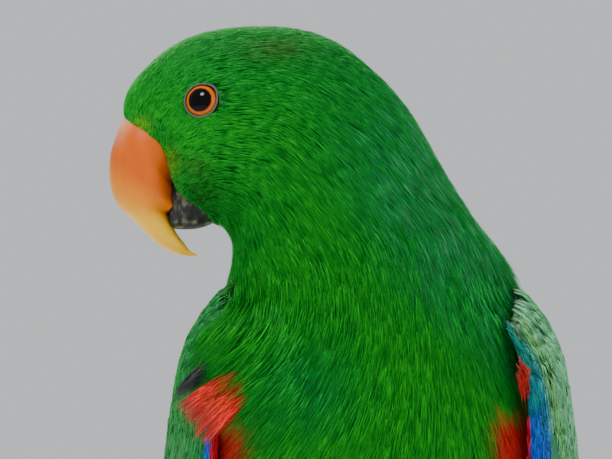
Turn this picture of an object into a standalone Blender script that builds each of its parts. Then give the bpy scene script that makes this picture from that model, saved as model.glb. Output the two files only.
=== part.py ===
"""A life-size male eclectus parrot on a short cut branch, held by a plain display stand.

The body faces -Y and the head is turned to the bird's right, towards -X.
Tables are in millimetres in the bird's own frame: x to its left, y backwards, z measured
up from the crown, so that heights on the body are negative. Blender gets metres.
"""

import math
import random

import bmesh
import bpy
import numpy as np
from mathutils import Vector

TO_METRES = 0.001
GAP = 0.3

# Driving heights and places
BASE_THICK = 12.0
TAIL_CLEARANCE = 8.0
TAIL_TIP_DROP = 325.0
CROWN_HEIGHT = BASE_THICK + TAIL_CLEARANCE + TAIL_TIP_DROP
BIRD_SETBACK = 26.0

# The midline of body and head: each row is a flat section from its dorsal to its ventral point.
# yaw turns the section's plane about the vertical, -90 at the head and 0 at the trunk.
# Columns: yaw, dorsal (back, z), ventral (back, z), widest place, half width, axis y, sweep.
BODY_SECTIONS = {
    "bill base": (-90, -66.7, -24.6, -42.4, -54.1, 0.50, 12.6, -8.0, 3.6),
    "brow": (-90, -65.2, -17.2, -41.3, -54.3, 0.47, 16.0, -8.0, 2.4),
    "forehead": (-90, -57.0, -8.0, -40.0, -54.9, 0.45, 18.6, -8.0, 1.0),
    "eye": (-90, -45.7, -2.0, -39.0, -55.9, 0.45, 20.6, -8.0, 0.2),
    "crown": (-90, -29.9, 0.0, -37.9, -57.2, 0.45, 21.8, -8.0, 0.0),
    "hind crown": (-90, -12.7, -2.4, -37.2, -59.1, 0.46, 23.8, -8.0, 0.0),
    "nape": (-90, 0.5, -11.1, -37.1, -61.5, 0.47, 25.0, -8.0, 0.0),
    "hind neck": (-88, 11.7, -23.3, -37.4, -64.1, 0.48, 26.2, -7.5, 0.0),
    "neck": (-84, 20.6, -38.7, -37.9, -67.3, 0.49, 27.6, -7.0, 0.0),
    "neck base": (-76, 29.5, -52.4, -39.5, -71.5, 0.50, 30.0, -6.0, 0.0),
    "collar": (-58, 37.5, -66.5, -41.5, -82.0, 0.50, 34.5, -4.5, 0.0),
    "shoulders": (-28, 43.5, -83.0, -43.5, -105.0, 0.50, 41.0, -2.0, 0.0),
    "breast": (-6, 49.0, -103.5, -43.0, -136.0, 0.50, 46.5, 0.0, 0.0),
    "mid back": (0, 57.0, -131.0, -35.0, -166.0, 0.50, 45.5, 0.0, 0.0),
    "belly": (0, 66.5, -159.0, -17.0, -193.0, 0.50, 41.0, 0.0, 0.0),
    "lower belly": (0, 76.0, -186.0, 10.0, -213.0, 0.50, 34.0, 0.0, 0.0),
    "vent": (0, 84.5, -210.0, 46.0, -229.0, 0.50, 23.5, 0.0, 0.0),
    "tail base": (0, 85.5, -234.0, 72.5, -243.0, 0.50, 11.5, 0.0, 0.0),
}
HEAD_END = 6.6
NECK_END = 10.3
BODY_END = 17.0
BODY_SIDES = 24

# Bill: each row runs from the ridge or upper edge to the cutting or lower edge.
UPPER_BILL = {
    "root": (-90, -59.0, -19.0, -47.0, -38.5, 0.45, 9.4, -8.0, 0.0),
    "feather line": (-90, -66.4, -25.6, -52.6, -42.2, 0.45, 10.6, -8.0, 0.0),
    "upper ridge": (-90, -68.4, -29.6, -52.7, -44.8, 0.44, 10.6, -8.0, 0.0),
    "brow of ridge": (-90, -69.9, -34.2, -52.6, -47.3, 0.42, 10.2, -8.0, 0.0),
    "tooth": (-90, -70.4, -39.6, -52.2, -50.0, 0.40, 9.3, -8.0, 0.0),
    "notch": (-90, -69.8, -44.8, -53.6, -51.8, 0.40, 8.1, -8.0, 0.0),
    "bend": (-90, -67.6, -49.6, -53.4, -53.5, 0.42, 6.8, -8.0, 0.0),
    "hook": (-90, -63.6, -53.4, -52.6, -55.6, 0.45, 5.4, -8.0, 0.0),
    "hook middle": (-90, -59.6, -57.5, -51.3, -57.7, 0.50, 4.1, -8.0, 0.0),
    "hook end": (-90, -55.0, -61.0, -49.8, -59.6, 0.50, 2.9, -8.0, 0.0),
    "near tip": (-90, -50.8, -62.6, -48.6, -61.2, 0.50, 1.6, -8.0, 0.0),
    "tip": (-90, -46.9, -62.9, -46.6, -62.4, 0.50, 0.5, -8.0, 0.0),
}
LOWER_BILL = {
    "root": (-90, -45.0, -37.0, -39.5, -51.0, 0.50, 6.6, -8.0, 0.0),
    "chin": (-90, -48.5, -38.6, -41.9, -53.5, 0.50, 8.3, -8.0, 0.0),
    "gonys": (-90, -51.5, -41.0, -43.7, -54.6, 0.50, 8.2, -8.0, 0.0),
    "bowl": (-90, -53.4, -43.6, -46.6, -55.4, 0.50, 7.8, -8.0, 0.0),
    "front": (-90, -54.0, -46.4, -49.3, -55.3, 0.50, 6.9, -8.0, 0.0),
    "cutting edge": (-90, -54.2, -48.8, -51.6, -54.3, 0.50, 5.6, -8.0, 0.0),
    "edge": (-90, -54.0, -50.4, -52.9, -52.7, 0.50, 3.8, -8.0, 0.0),
}
BILL_SIDES = 14

EYE = {"x": -45.3, "z": -20.8, "radius": 5.6, "apex": 1.0}
EYE_RING = {"radius": 4.65, "thick": 0.75, "rise": -0.1}
NOSTRIL = {"x": -62.2, "z": -25.6, "radius": 1.1}
HEAD_AXIS_Y = -8.0

# The folded left wing: lower edge, middle line and upper edge, each as (x, y, z) from bend to tip.
WING_STATIONS = (0.0, 0.07, 0.2, 0.4, 0.6, 0.8, 1.0)
WING_LOWER = (
    (36.0, -24.0, -80.0),
    (43.5, -30.0, -92.0),
    (46.5, -29.0, -118.0),
    (45.0, -7.0, -163.0),
    (35.0, 33.0, -207.0),
    (26.0, 71.0, -247.0),
    (13.0, 107.0, -291.0),
)
WING_MIDDLE = (
    (41.0, -8.0, -69.5),
    (51.0, -4.0, -83.0),
    (55.0, 7.0, -108.0),
    (52.5, 30.0, -153.0),
    (41.0, 58.0, -200.0),
    (25.0, 88.0, -246.0),
    (11.5, 111.0, -291.0),
)
WING_UPPER = (
    (29.0, 13.0, -68.0),
    (33.0, 27.0, -80.0),
    (27.0, 47.0, -101.0),
    (20.0, 65.0, -145.0),
    (13.5, 83.5, -191.0),
    (8.0, 102.0, -241.0),
    (6.5, 113.5, -290.0),
)
WING_SHIFT = 1.0
WING_SEED = 6
WING_CORE_END = 0.62
WING_CORE_DEPTH = 15.0
WING_CORE_TAIL_DEPTH = 2.2
VANE_THICK = 0.8

# Tiers of wing vanes: count, first and last root (s, t), first and last tip (s, t), half width, height
WING_TIERS = {
    "primaries": (6, (0.42, 0.34), (0.40, 0.12), (0.985, 0.60), (0.68, 0.05), 10.4, -0.9, 5),
    "secondaries": (6, (0.36, 0.84), (0.36, 0.20), (0.70, 0.88), (0.62, 0.19), 11.2, 0.5, 4),
    "primary coverts": (2, (0.20, 0.18), (0.18, 0.08), (0.47, 0.13), (0.42, 0.06), 6.4, 0.6, 4),
    "greater coverts": (6, (0.22, 0.86), (0.21, 0.21), (0.45, 0.88), (0.42, 0.20), 10.0, 1.5, 4),
    "median coverts": (5, (0.12, 0.88), (0.11, 0.18), (0.31, 0.88), (0.29, 0.17), 11.0, 2.4, 4),
    "lesser coverts": (4, (0.03, 0.80), (0.03, 0.22), (0.18, 0.82), (0.17, 0.21), 11.4, 3.2, 4),
}

# Tail: the axis runs from the rump down and back
TAIL_ROOT = (0.0, 76.0, -226.0)
TAIL_SLOPE_DEG = 69.0
TAIL_LENGTH = 106.5
TAIL_ROOT_HALF = 11.0
TAIL_TIP_HALF = 21.0
TAIL_ROOF = 0.013
TAIL_PAIRS = 6
# Rows of tail coverts, two above and one below: root, tip, count, and heights from root to tip
TAIL_COVERTS = (
    (-0.02, 0.50, 4, (4.0, 2.8, 1.2)),
    (-0.12, 0.28, 4, (8.0, 5.6, 2.6)),
    (0.0, 0.46, 3, (-8.5, -6.5, -5.0)),
)

# Legs and feet
PERCH_RADIUS = 14.5
PERCH_TOP = -221.0
PERCH_Y = 3.0
PERCH_HALF = 76.0
HOLE_DEPTH = 9.0
LEG_X = 19.0
ANKLE = (-207.5, 5.0)
TOES = {
    "front_inner": (-1, -5.0, -9.5, 62.0, 3.1),
    "front_outer": (-1, 5.0, 9.5, 92.0, 3.4),
    "hind_inner": (1, -4.5, -9.0, 50.0, 2.9),
    "hind_outer": (1, 4.5, 10.0, 82.0, 3.2),
}
CLAW_SWEEP_DEG = 36.0

# Stand
ROD_X = 50.0
ROD_RADIUS = 3.0
BASE_HALF_X = 72.0
BASE_HALF_Y = 88.0
BASE_CORNER = 30.0

# Red, green, blue, roughness and metallic of each material
COLOURS = {
    "body_plumage": (0.02, 0.30, 0.04, 0.60, 0.0),
    "flight_plumage": (0.02, 0.26, 0.05, 0.50, 0.0),
    "bill_orange": (0.90, 0.25, 0.03, 0.35, 0.0),
    "bill_black": (0.05, 0.05, 0.05, 0.45, 0.0),
    "eye": (0.75, 0.25, 0.02, 0.10, 0.0),
    "foot_skin": (0.22, 0.21, 0.20, 0.60, 0.0),
    "claw": (0.05, 0.05, 0.05, 0.35, 0.0),
    "bark": (0.55, 0.36, 0.17, 0.75, 0.0),
    "base_wood": (0.10, 0.06, 0.035, 0.45, 0.0),
    "rod_steel": (0.55, 0.55, 0.56, 0.30, 1.0),
}


def clear_scene():
    for obj in list(bpy.data.objects):
        bpy.data.objects.remove(obj)


def material(name):
    """The Principled material of one named colour, made once."""
    found = bpy.data.materials.get(name)
    if found:
        return found
    red, green, blue, roughness, metallic = COLOURS[name]
    made = bpy.data.materials.new(name)
    made.use_nodes = True
    shader = made.node_tree.nodes["Principled BSDF"]
    shader.inputs["Base Color"].default_value = (red, green, blue, 1.0)
    shader.inputs["Roughness"].default_value = roughness
    shader.inputs["Metallic"].default_value = metallic
    return made


def natural_cubic(knots, at):
    """Values at `at` on the natural cubic spline that has one knot at each whole number."""
    knots = np.asarray(knots, float)
    count = len(knots)
    matrix = np.eye(count)
    right = np.zeros_like(knots)
    for i in range(1, count - 1):
        matrix[i, i - 1 : i + 2] = (1, 4, 1)
        right[i] = 6 * (knots[i + 1] - 2 * knots[i] + knots[i - 1])
    second = np.linalg.solve(matrix, right)
    at = np.atleast_1d(np.asarray(at, float))
    low = np.clip(np.floor(at).astype(int), 0, count - 2)
    after = (at - low)[:, None]
    before = 1 - after
    bend = (before**3 - before) * second[low] + (after**3 - after) * second[low + 1]
    return before * knots[low] + after * knots[low + 1] + bend / 6


def to_row(points):
    """Bird-frame millimetres as row-frame metres."""
    moved = np.asarray(points, float) + (0.0, -BIRD_SETBACK, CROWN_HEIGHT)
    return moved * TO_METRES


def mesh_object(name, points, faces, colour):
    """A mesh object of these bird-frame points, with its faces turned outwards."""
    mesh = bpy.data.meshes.new(name)
    mesh.from_pydata([tuple(p) for p in to_row(points)], [], [tuple(f) for f in faces])
    mesh.validate()
    work = bmesh.new()
    work.from_mesh(mesh)
    bmesh.ops.recalc_face_normals(work, faces=work.faces)
    if work.calc_volume(signed=True) < 0:
        bmesh.ops.reverse_faces(work, faces=work.faces)
    work.to_mesh(mesh)
    work.free()
    mesh.materials.append(material(colour))
    obj = bpy.data.objects.new(name, mesh)
    bpy.context.scene.collection.objects.link(obj)
    return obj


def smooth(obj, angle_deg=40.0):
    obj.data.shade_smooth()
    obj.data.set_sharp_from_angle(angle=math.radians(angle_deg))


def ring_lofted(name, rings, colour):
    """A closed solid through rings of equal count, each end closed by a fan to its middle."""
    count = len(rings[0])
    points = [p for ring in rings for p in ring]
    faces = []
    for k in range(len(rings) - 1):
        for i in range(count):
            j = (i + 1) % count
            faces.append((k * count + i, k * count + j, (k + 1) * count + j, (k + 1) * count + i))
    for k in (0, len(rings) - 1):
        middle = len(points)
        points.append(np.mean(rings[k], axis=0))
        faces += [(k * count + i, k * count + (i + 1) % count, middle) for i in range(count)]
    return mesh_object(name, points, faces, colour)


def section_ring(table, at, count, grow=0.0):
    """One ring of a section table: points from the dorsal one round by the bird's left side."""
    rows = list(table.values())
    yaw, back_p, z_p, back_q, z_q, widest, half, axis_y, sweep = natural_cubic(rows, at)[0]
    turn = math.radians(yaw)
    back = np.array((-math.sin(turn), math.cos(turn), 0.0))
    left = np.array((math.cos(turn), math.sin(turn), 0.0))
    axis = np.array((0.0, axis_y, 0.0))
    dorsal = axis + back * back_p + np.array((0.0, 0.0, z_p))
    ventral = axis + back * back_q + np.array((0.0, 0.0, z_q))
    length = np.linalg.norm(dorsal - ventral)
    up = (dorsal - ventral) / length
    along = np.cross(up, left)
    centre = ventral + (dorsal - ventral) * widest
    angles = np.linspace(0, 2 * math.pi, count, endpoint=False)
    rise = np.cos(angles)
    reach = np.where(rise > 0, (1 - widest) * length, widest * length) + grow
    side = np.sin(angles)
    ring = centre + np.outer(rise * reach, up) + np.outer(side * (half + grow), left)
    return ring + np.outer(side**2 * sweep, along)


def table_loft(name, table, steps, count, colour, grow=0.0, gaps=(0.0, 0.0)):
    """A loft through a section table at these steps. gaps move the end faces inwards."""
    rings = [section_ring(table, at, count, grow) for at in steps]
    for end, inner, gap in ((0, 1, gaps[0]), (-1, -2, gaps[1])):
        inwards = rings[inner].mean(axis=0) - rings[end].mean(axis=0)
        rings[end] = rings[end] + inwards / np.linalg.norm(inwards) * gap
    return ring_lofted(name, rings, colour)


def tube(name, path, radii, count, colour, flat=1.0):
    """A round solid along a path. flat squeezes it across the bird's left-right axis."""
    path = np.asarray(path, float)
    rings = []
    side = np.array((1.0, 0.0, 0.0))
    for i, point in enumerate(path):
        ahead = path[min(i + 1, len(path) - 1)] - path[max(i - 1, 0)]
        ahead = ahead / np.linalg.norm(ahead)
        across = side - ahead * side.dot(ahead)
        if np.linalg.norm(across) < 0.2:
            across = np.cross(ahead, (0.0, 1.0, 0.0))
        across = across / np.linalg.norm(across)
        upward = np.cross(ahead, across)
        angles = np.linspace(0, 2 * math.pi, count, endpoint=False)
        ring = point + np.outer(np.cos(angles) * radii[i] * flat, across)
        rings.append(ring + np.outer(np.sin(angles) * radii[i], upward))
    return ring_lofted(name, rings, colour)


def apply_boolean(obj, others, operation, solver="EXACT"):
    """Joins or cuts with a set of objects in one modifier, applies it, and removes them."""
    group = bpy.data.collections.new(obj.name + "_pieces")
    bpy.context.scene.collection.children.link(group)
    for other in others:
        for owner in list(other.users_collection):
            owner.objects.unlink(other)
        group.objects.link(other)
    modifier = obj.modifiers.new("join", "BOOLEAN")
    modifier.operation = operation
    modifier.operand_type = "COLLECTION"
    modifier.collection = group
    modifier.solver = solver
    if solver == "EXACT":
        modifier.use_self = operation == "UNION"
    graph = bpy.context.evaluated_depsgraph_get()
    made = bpy.data.meshes.new_from_object(obj.evaluated_get(graph))
    obj.modifiers.clear()
    obj.data = made
    for other in list(group.objects):
        bpy.data.objects.remove(other)
    bpy.data.collections.remove(group)
    keep_largest(obj)


def keep_largest(obj):
    """Keeps the closed surface that holds most, and drops sealed hollows and loose scraps."""
    work = bmesh.new()
    work.from_mesh(obj.data)
    bmesh.ops.triangulate(work, faces=work.faces)
    left = set(work.faces)
    shells = []
    while left:
        queue = [left.pop()]
        shell = []
        while queue:
            face = queue.pop()
            shell.append(face)
            for edge in face.edges:
                for other in edge.link_faces:
                    if other in left:
                        left.remove(other)
                        queue.append(other)
        volume = 0.0
        for face in shell:
            a, b, c = (v.co for v in face.verts)
            volume += a.dot(b.cross(c)) / 6
        shells.append((volume, shell))
    shells.sort(key=lambda pair: pair[0], reverse=True)
    loose = [face for _, shell in shells[1:] for face in shell]
    bmesh.ops.delete(work, geom=loose, context="FACES")
    work.to_mesh(obj.data)
    work.free()


def mirrored(obj, name):
    """A copy of a left-side object on the bird's right side."""
    mesh = obj.data.copy()
    mesh.name = name
    work = bmesh.new()
    work.from_mesh(mesh)
    for vertex in work.verts:
        vertex.co.x = -vertex.co.x
    bmesh.ops.reverse_faces(work, faces=work.faces)
    work.to_mesh(mesh)
    work.free()
    copy = bpy.data.objects.new(name, mesh)
    bpy.context.scene.collection.objects.link(copy)
    return copy


def ball(name, centre, radius, colour, rings=8, count=16):
    """A sphere about a bird-frame centre, its poles on the bird-frame y axis."""
    lofts = []
    for k in range(rings + 1):
        angle = math.pi * (k + 0.5) / (rings + 1)
        turn = np.linspace(0, 2 * math.pi, count, endpoint=False)
        ring = np.column_stack((np.cos(turn), np.zeros(count), np.sin(turn)))
        ring = ring * math.sin(angle) * radius
        ring[:, 1] = -math.cos(angle) * radius
        lofts.append(ring + centre)
    return ring_lofted(name, lofts, colour)


# Head, neck and torso


def body_steps(first, last):
    """The stations between two ends of a body node, the same for its cutters."""
    marks = (0.0, HEAD_END, NECK_END, BODY_END)
    steps = []
    for low, high in zip(marks, marks[1:]):
        count = math.ceil((high - low) / 0.42)
        steps += [low + (high - low) * i / count for i in range(count)]
    steps = np.array(steps + [BODY_END])
    return steps[(steps > first - 1e-6) & (steps < last + 1e-6)]


def trunk_cutter(name, grow, first=0.0, last=BODY_END):
    """The trunk swollen by the gap, for cutting what lies against it."""
    steps = body_steps(first, last)
    return table_loft(name, BODY_SECTIONS, steps, BODY_SIDES, "body_plumage", grow, (-grow, -grow))


def make_bill(grow=0.0, name_tail=""):
    steps = np.linspace(0, len(UPPER_BILL) - 1, 19)
    upper = table_loft(
        "upper_bill" + name_tail, UPPER_BILL, steps, BILL_SIDES, "bill_orange", grow, (-grow, -grow)
    )
    steps = np.linspace(0, len(LOWER_BILL) - 1, 9)
    lower = table_loft(
        "lower_bill" + name_tail, LOWER_BILL, steps, BILL_SIDES, "bill_black", grow, (-grow, -grow)
    )
    return upper, lower


def on_head(head, x, z, side):
    """The point and outward direction of the head's skin at x, z. side -1 is the bird's left."""
    start = to_row([(x, HEAD_AXIS_Y + side * 60.0, z)])[0]
    hit, place, normal, _ = head.ray_cast(Vector(start), Vector((0.0, -side, 0.0)))
    if not hit:
        raise ValueError("no skin there")
    moved = np.array(place) / TO_METRES - (0.0, -BIRD_SETBACK, CROWN_HEIGHT)
    return moved, np.array(normal)


def eye_ring(place, normal):
    """The bare rim of the lids, a thick ring about the eye."""
    count = 16
    inner = 6
    upward = np.array((0.0, 0.0, 1.0)) - normal * normal[2]
    upward = upward / np.linalg.norm(upward)
    across = np.cross(upward, normal)
    centre = place + normal * EYE_RING["rise"]
    thick = EYE_RING["thick"]
    points = []
    for i in range(count):
        turn = 2 * math.pi * i / count
        out = across * math.cos(turn) + upward * math.sin(turn)
        for j in range(inner):
            tip = 2 * math.pi * j / inner
            away = EYE_RING["radius"] + thick * math.cos(tip)
            points.append(centre + out * away + normal * thick * math.sin(tip))
    faces = []
    for i in range(count):
        for j in range(inner):
            a, b = i * inner, ((i + 1) % count) * inner
            faces.append((a + j, a + (j + 1) % inner, b + (j + 1) % inner, b + j))
    return mesh_object("eye_ring", points, faces, "foot_skin")


def make_head():
    steps = body_steps(0.0, HEAD_END)
    head = table_loft("head", BODY_SECTIONS, steps, BODY_SIDES, "body_plumage", 0.0, (0.0, GAP / 2))
    bpy.context.view_layer.update()
    rings = []
    cutters = list(make_bill(GAP, "_cutter"))
    eyes = []
    for name, side in (("eye_left", -1), ("eye_right", 1)):
        place, normal = on_head(head, EYE["x"], EYE["z"], side)
        rings.append(eye_ring(place, normal))
        centre = place + normal * (EYE["apex"] - EYE["radius"])
        eyes.append((name, centre))
        cutters.append(ball("socket", centre, EYE["radius"] + GAP, "body_plumage"))
        place, normal = on_head(head, NOSTRIL["x"], NOSTRIL["z"], side)
        cutters.append(ball("nostril", place, NOSTRIL["radius"], "body_plumage", 5, 10))
    apply_boolean(head, rings, "UNION")
    apply_boolean(head, cutters, "DIFFERENCE")
    smooth(head)
    upper, lower = make_bill()
    smooth(upper)
    cutter, spare = make_bill(GAP, "_cutter")
    bpy.data.objects.remove(spare)
    apply_boolean(lower, [cutter], "DIFFERENCE")
    smooth(lower)
    for name, centre in eyes:
        smooth(ball(name, centre, EYE["radius"], "eye"))


def make_trunk():
    steps = body_steps(HEAD_END, NECK_END)
    smooth(table_loft("neck", BODY_SECTIONS, steps, BODY_SIDES, "body_plumage", 0.0, (GAP / 2, GAP / 2)))
    steps = body_steps(NECK_END, BODY_END)
    smooth(table_loft("torso", BODY_SECTIONS, steps, BODY_SIDES, "body_plumage", 0.0, (GAP / 2, 0.0)))


# Feathers


def vane(name, surface, root, tip, half_width, heights, tilt=0.0, steps=5, bend=0.0):
    """One feather as a thin closed vane that follows a surface from root to tip.

    surface(s, t, height) gives points. heights are those of root, middle and tip.
    tilt lifts its low-t edge and sinks the other. bend bows its shaft in t.
    """
    spread = (0.55, 0.86, 1.0, 0.97, 0.42)
    points = []
    for i in range(steps):
        along = i / (steps - 1)
        wide = np.interp(along, np.linspace(0, 1, len(spread)), spread) * half_width
        s = root[0] + (tip[0] - root[0]) * along
        t = root[1] + (tip[1] - root[1]) * along + bend * math.sin(math.pi * along)
        height = np.interp(along, (0, 0.5, 1), heights)
        stretch = np.linalg.norm(surface(s, t + 0.02, height) - surface(s, t - 0.02, height)) / 0.04
        reach = wide / stretch
        thick = VANE_THICK * (1.0 - 0.3 * along)
        for edge in (-1, 0, 1):
            # the shaft stands a little above the edges, as a real vane is cambered
            level = height - tilt * edge * along - 0.35 * abs(edge)
            lag = 0.0 if edge == 0 or i < steps - 1 else (root[0] - tip[0]) * 0.05
            points.append(surface(s + lag, t + edge * reach, level + thick / 2))
            points.append(surface(s + lag, t + edge * reach, level - thick / 2))
    faces = []
    for i in range(steps - 1):
        a, b = i * 6, (i + 1) * 6
        for k in (0, 2):
            for low, high in ((a + k, b + k), (a + k + 1, b + k + 1)):
                faces += [(low, low + 2, high + 2), (low, high + 2, high)]
        for k in (0, 4):
            faces += [(a + k, a + k + 1, b + k + 1), (a + k, b + k + 1, b + k)]
    for a in (0, (steps - 1) * 6):
        for k in (0, 2):
            faces += [(a + k, a + k + 2, a + k + 3), (a + k, a + k + 3, a + k + 1)]
    return mesh_object(name, points, faces, "flight_plumage")


def between(first, last, share):
    return tuple(a + (b - a) * share for a, b in zip(first, last))


# Wings


def wing_surface(s, t, height):
    """A point over the folded left wing: s from bend to tip, t from lower to upper edge."""
    at = np.interp(s, WING_STATIONS, range(len(WING_STATIONS)))
    low = natural_cubic(WING_LOWER, at)[0]
    mid = natural_cubic(WING_MIDDLE, at)[0]
    top = natural_cubic(WING_UPPER, at)[0]
    curve = low * (2 * t - 1) * (t - 1) + mid * 4 * t * (1 - t) + top * t * (2 * t - 1)
    if height == 0:
        return curve
    step = 0.01
    ahead = wing_surface(s + step, t, 0) - wing_surface(s - step, t, 0)
    across = wing_surface(s, t + step, 0) - wing_surface(s, t - step, 0)
    normal = np.cross(ahead, across)
    return curve + normal / np.linalg.norm(normal) * height


def wing_core():
    """The body of the wing that carries its feathers, thinning towards the tip."""
    rings = []
    for share in np.linspace(0, 1, 12):
        s = share * WING_CORE_END
        depth = WING_CORE_DEPTH + (WING_CORE_TAIL_DEPTH - WING_CORE_DEPTH) * share**0.8
        swell = min(1.0, 0.35 + share * 3)
        ring = [wing_surface(s, t, -0.6) for t in np.linspace(0.06, 0.94, 7)]
        ring += [
            wing_surface(s, t, -0.6 - depth * swell * math.sin(math.pi * (0.12 + 0.76 * t)))
            for t in np.linspace(0.9, 0.1, 6)
        ]
        rings.append(np.array(ring))
    return ring_lofted("wing_left", rings, "flight_plumage")


def make_wings():
    core = wing_core()
    chance = random.Random(WING_SEED)
    vanes = []
    for tier, (count, root_a, root_b, tip_a, tip_b, half, height, steps) in WING_TIERS.items():
        for k in range(count):
            share = k / (count - 1)
            root = between(root_a, root_b, share)
            tip = between(tip_a, tip_b, share)
            if tier == "primaries":
                tip = (tip_a[0] + (tip_b[0] - tip_a[0]) * share**1.35, tip[1])
            tip = (tip[0] + chance.uniform(-0.007, 0.007), tip[1] + chance.uniform(-0.01, 0.01))
            level = height + chance.uniform(-0.12, 0.12)
            lift = (level - 2.2, level - 0.2, level + 0.1)
            made = vane(f"{tier} {k}", wing_surface, root, tip, half, lift, 0.5, steps)
            vanes.append(made)
    apply_boolean(core, vanes, "UNION", "MANIFOLD")
    right = mirrored(core, "wing_right")
    for wing in (core, right):
        for vertex in wing.data.vertices:
            vertex.co.x += WING_SHIFT * TO_METRES
        apply_boolean(wing, [trunk_cutter("trunk", GAP, 5.0)], "DIFFERENCE", "MANIFOLD")
        smooth(wing, 30.0)


# Tail


def tail_surface(s, t, height):
    """A point over the tail: s from root to tip, t across from -1 at its right to 1 at its left."""
    slope = math.radians(TAIL_SLOPE_DEG)
    down = np.array((0.0, math.cos(slope), -math.sin(slope)))
    over = np.array((0.0, math.sin(slope), math.cos(slope)))
    half = TAIL_ROOT_HALF + (TAIL_TIP_HALF - TAIL_ROOT_HALF) * s
    x = t * half
    roof = height - TAIL_ROOF * x * x
    return np.array(TAIL_ROOT) + down * s * TAIL_LENGTH + np.array((x, 0, 0)) + over * roof


def make_tail():
    """Rectrices and coverts on a short core that meets the rump."""
    rings = []
    for s, half, up, under in (
        (-0.14, 0.95, 10.5, 11.0),
        (0.05, 1.0, 7.0, 9.0),
        (0.22, 0.92, 3.2, 6.2),
        (0.38, 0.72, 1.2, 3.4),
        (0.5, 0.5, 0.4, 1.6),
    ):
        top = [tail_surface(s, t, up * math.cos(t * 1.2)) for t in np.linspace(-half, half, 7)]
        low = [
            tail_surface(s, t, -under * math.cos(t * 1.2)) for t in np.linspace(half, -half, 7)
        ]
        rings.append(np.array(top + low))
    core = ring_lofted("tail", rings, "flight_plumage")
    vanes = []
    for pair in range(TAIL_PAIRS):
        for side in (-1, 1):
            place = side * (pair + 0.35) / TAIL_PAIRS
            level = -0.75 * pair + (0.35 if side > 0 else -0.35)
            length = 1.0 - 0.006 * pair
            vanes.append(
                vane(
                    f"rectrix {side} {pair}",
                    tail_surface,
                    (-0.02, place * 0.5),
                    (length, place * 0.9),
                    8.6,
                    (level, level, level),
                    0.0,
                    4,
                )
            )
    for row, (first, reach, count, heights) in enumerate(TAIL_COVERTS):
        for k in range(count):
            place = -0.6 + 1.2 * k / (count - 1)
            root = (first, place * 0.7)
            tip = (reach - 0.05 * abs(place), place)
            vanes.append(vane(f"covert {row} {k}", tail_surface, root, tip, 7.0, heights, 0.0, 4))
    apply_boolean(core, vanes, "UNION", "MANIFOLD")
    apply_boolean(core, [trunk_cutter("trunk", GAP, 12.0)], "DIFFERENCE", "MANIFOLD")
    smooth(core, 30.0)


# Legs, feet and claws


def leg_path(share):
    """Down the left leg's middle line, from inside the belly to the top of the perch."""
    z = -176.0 + (PERCH_TOP + 3.6 + 176.0) * share
    y = np.interp(share, (0, 0.7, 1), (-2.0, ANKLE[1], PERCH_Y))
    return np.array((LEG_X, y, z))


def perch_point(x, turn_deg, lift):
    """A point at this lift over the perch's mean surface, turned backwards from its top."""
    turn = math.radians(turn_deg)
    reach = PERCH_RADIUS + lift
    return np.array(
        (x, PERCH_Y + math.sin(turn) * reach, PERCH_TOP - PERCH_RADIUS + math.cos(turn) * reach)
    )


def thigh_tube(name, grow=0.0):
    shares = np.linspace(0, 0.76, 6)
    radii = [size + grow for size in (5.0, 11.0, 12.5, 10.5, 7.2, 5.2)]
    path = [leg_path(s) for s in shares]
    path[-1] = path[-1] - (0, 0, grow)
    return tube(name, path, radii, 16, "body_plumage")


def make_leg():
    thigh = thigh_tube("leg_left")
    right = mirrored(thigh, "leg_right")
    for leg in (thigh, right):
        apply_boolean(leg, [trunk_cutter("trunk", GAP, 12.0, 16.0)], "DIFFERENCE")
        smooth(leg)


def make_foot():
    shares = (0.7, 0.84, 0.93, 1.0)
    foot = tube("foot_left", [leg_path(s) for s in shares], (4.4, 3.7, 4.2, 3.4), 12, "foot_skin")
    cutters = [thigh_tube("thigh_cutter", GAP), trunk_cutter("trunk", GAP, 12.0)]
    apply_boolean(foot, cutters, "DIFFERENCE")
    toes = []
    for toe, (way, x_near, x_far, sweep, radius) in TOES.items():
        path = []
        radii = []
        for along in (0.0, 0.17, 0.33, 0.5, 0.67, 0.83, 0.95, 1.0):
            x = LEG_X + x_near * min(1, along * 4) + (x_far - x_near) * along
            bulge = 1.0 + 0.13 * math.cos(along * 6 * math.pi)
            size = radius * (1.0 - 0.25 * along) * bulge
            path.append(perch_point(x, way * (2 + sweep * along), size + GAP))
            radii.append(size)
        toes.append(tube(toe, path, radii, 8, "foot_skin"))
        path.append(path[-1] + (path[-1] - path[-2]) * GAP / np.linalg.norm(path[-1] - path[-2]))
        radii.append(radii[-1])
        grown = tube("grown", path, [size + GAP for size in radii], 8, "foot_skin")
        claw = []
        claw_radii = []
        end = sweep - 2
        for along in (0.0, 0.18, 0.36, 0.56, 0.78, 1.0):
            size = 1.9 * (1 - along) + 0.3
            bow = math.sin(math.pi * min(1, along * 1.15))
            away = radius * 0.75 + (0.7 + GAP - radius * 0.75) * along + 1.4 * bow
            turn = way * (end + CLAW_SWEEP_DEG * along)
            claw.append(perch_point(LEG_X + x_far + 0.6 * along, turn, away))
            claw_radii.append(size)
        made = tube(f"claw_left_{toe}", claw, claw_radii, 8, "claw", flat=0.8)
        apply_boolean(made, [grown], "DIFFERENCE")
        smooth(made)
        smooth(mirrored(made, f"claw_right_{toe}"))
    apply_boolean(foot, toes, "UNION")
    smooth(foot)
    smooth(mirrored(foot, "foot_right"))


# Perch and stand


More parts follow.
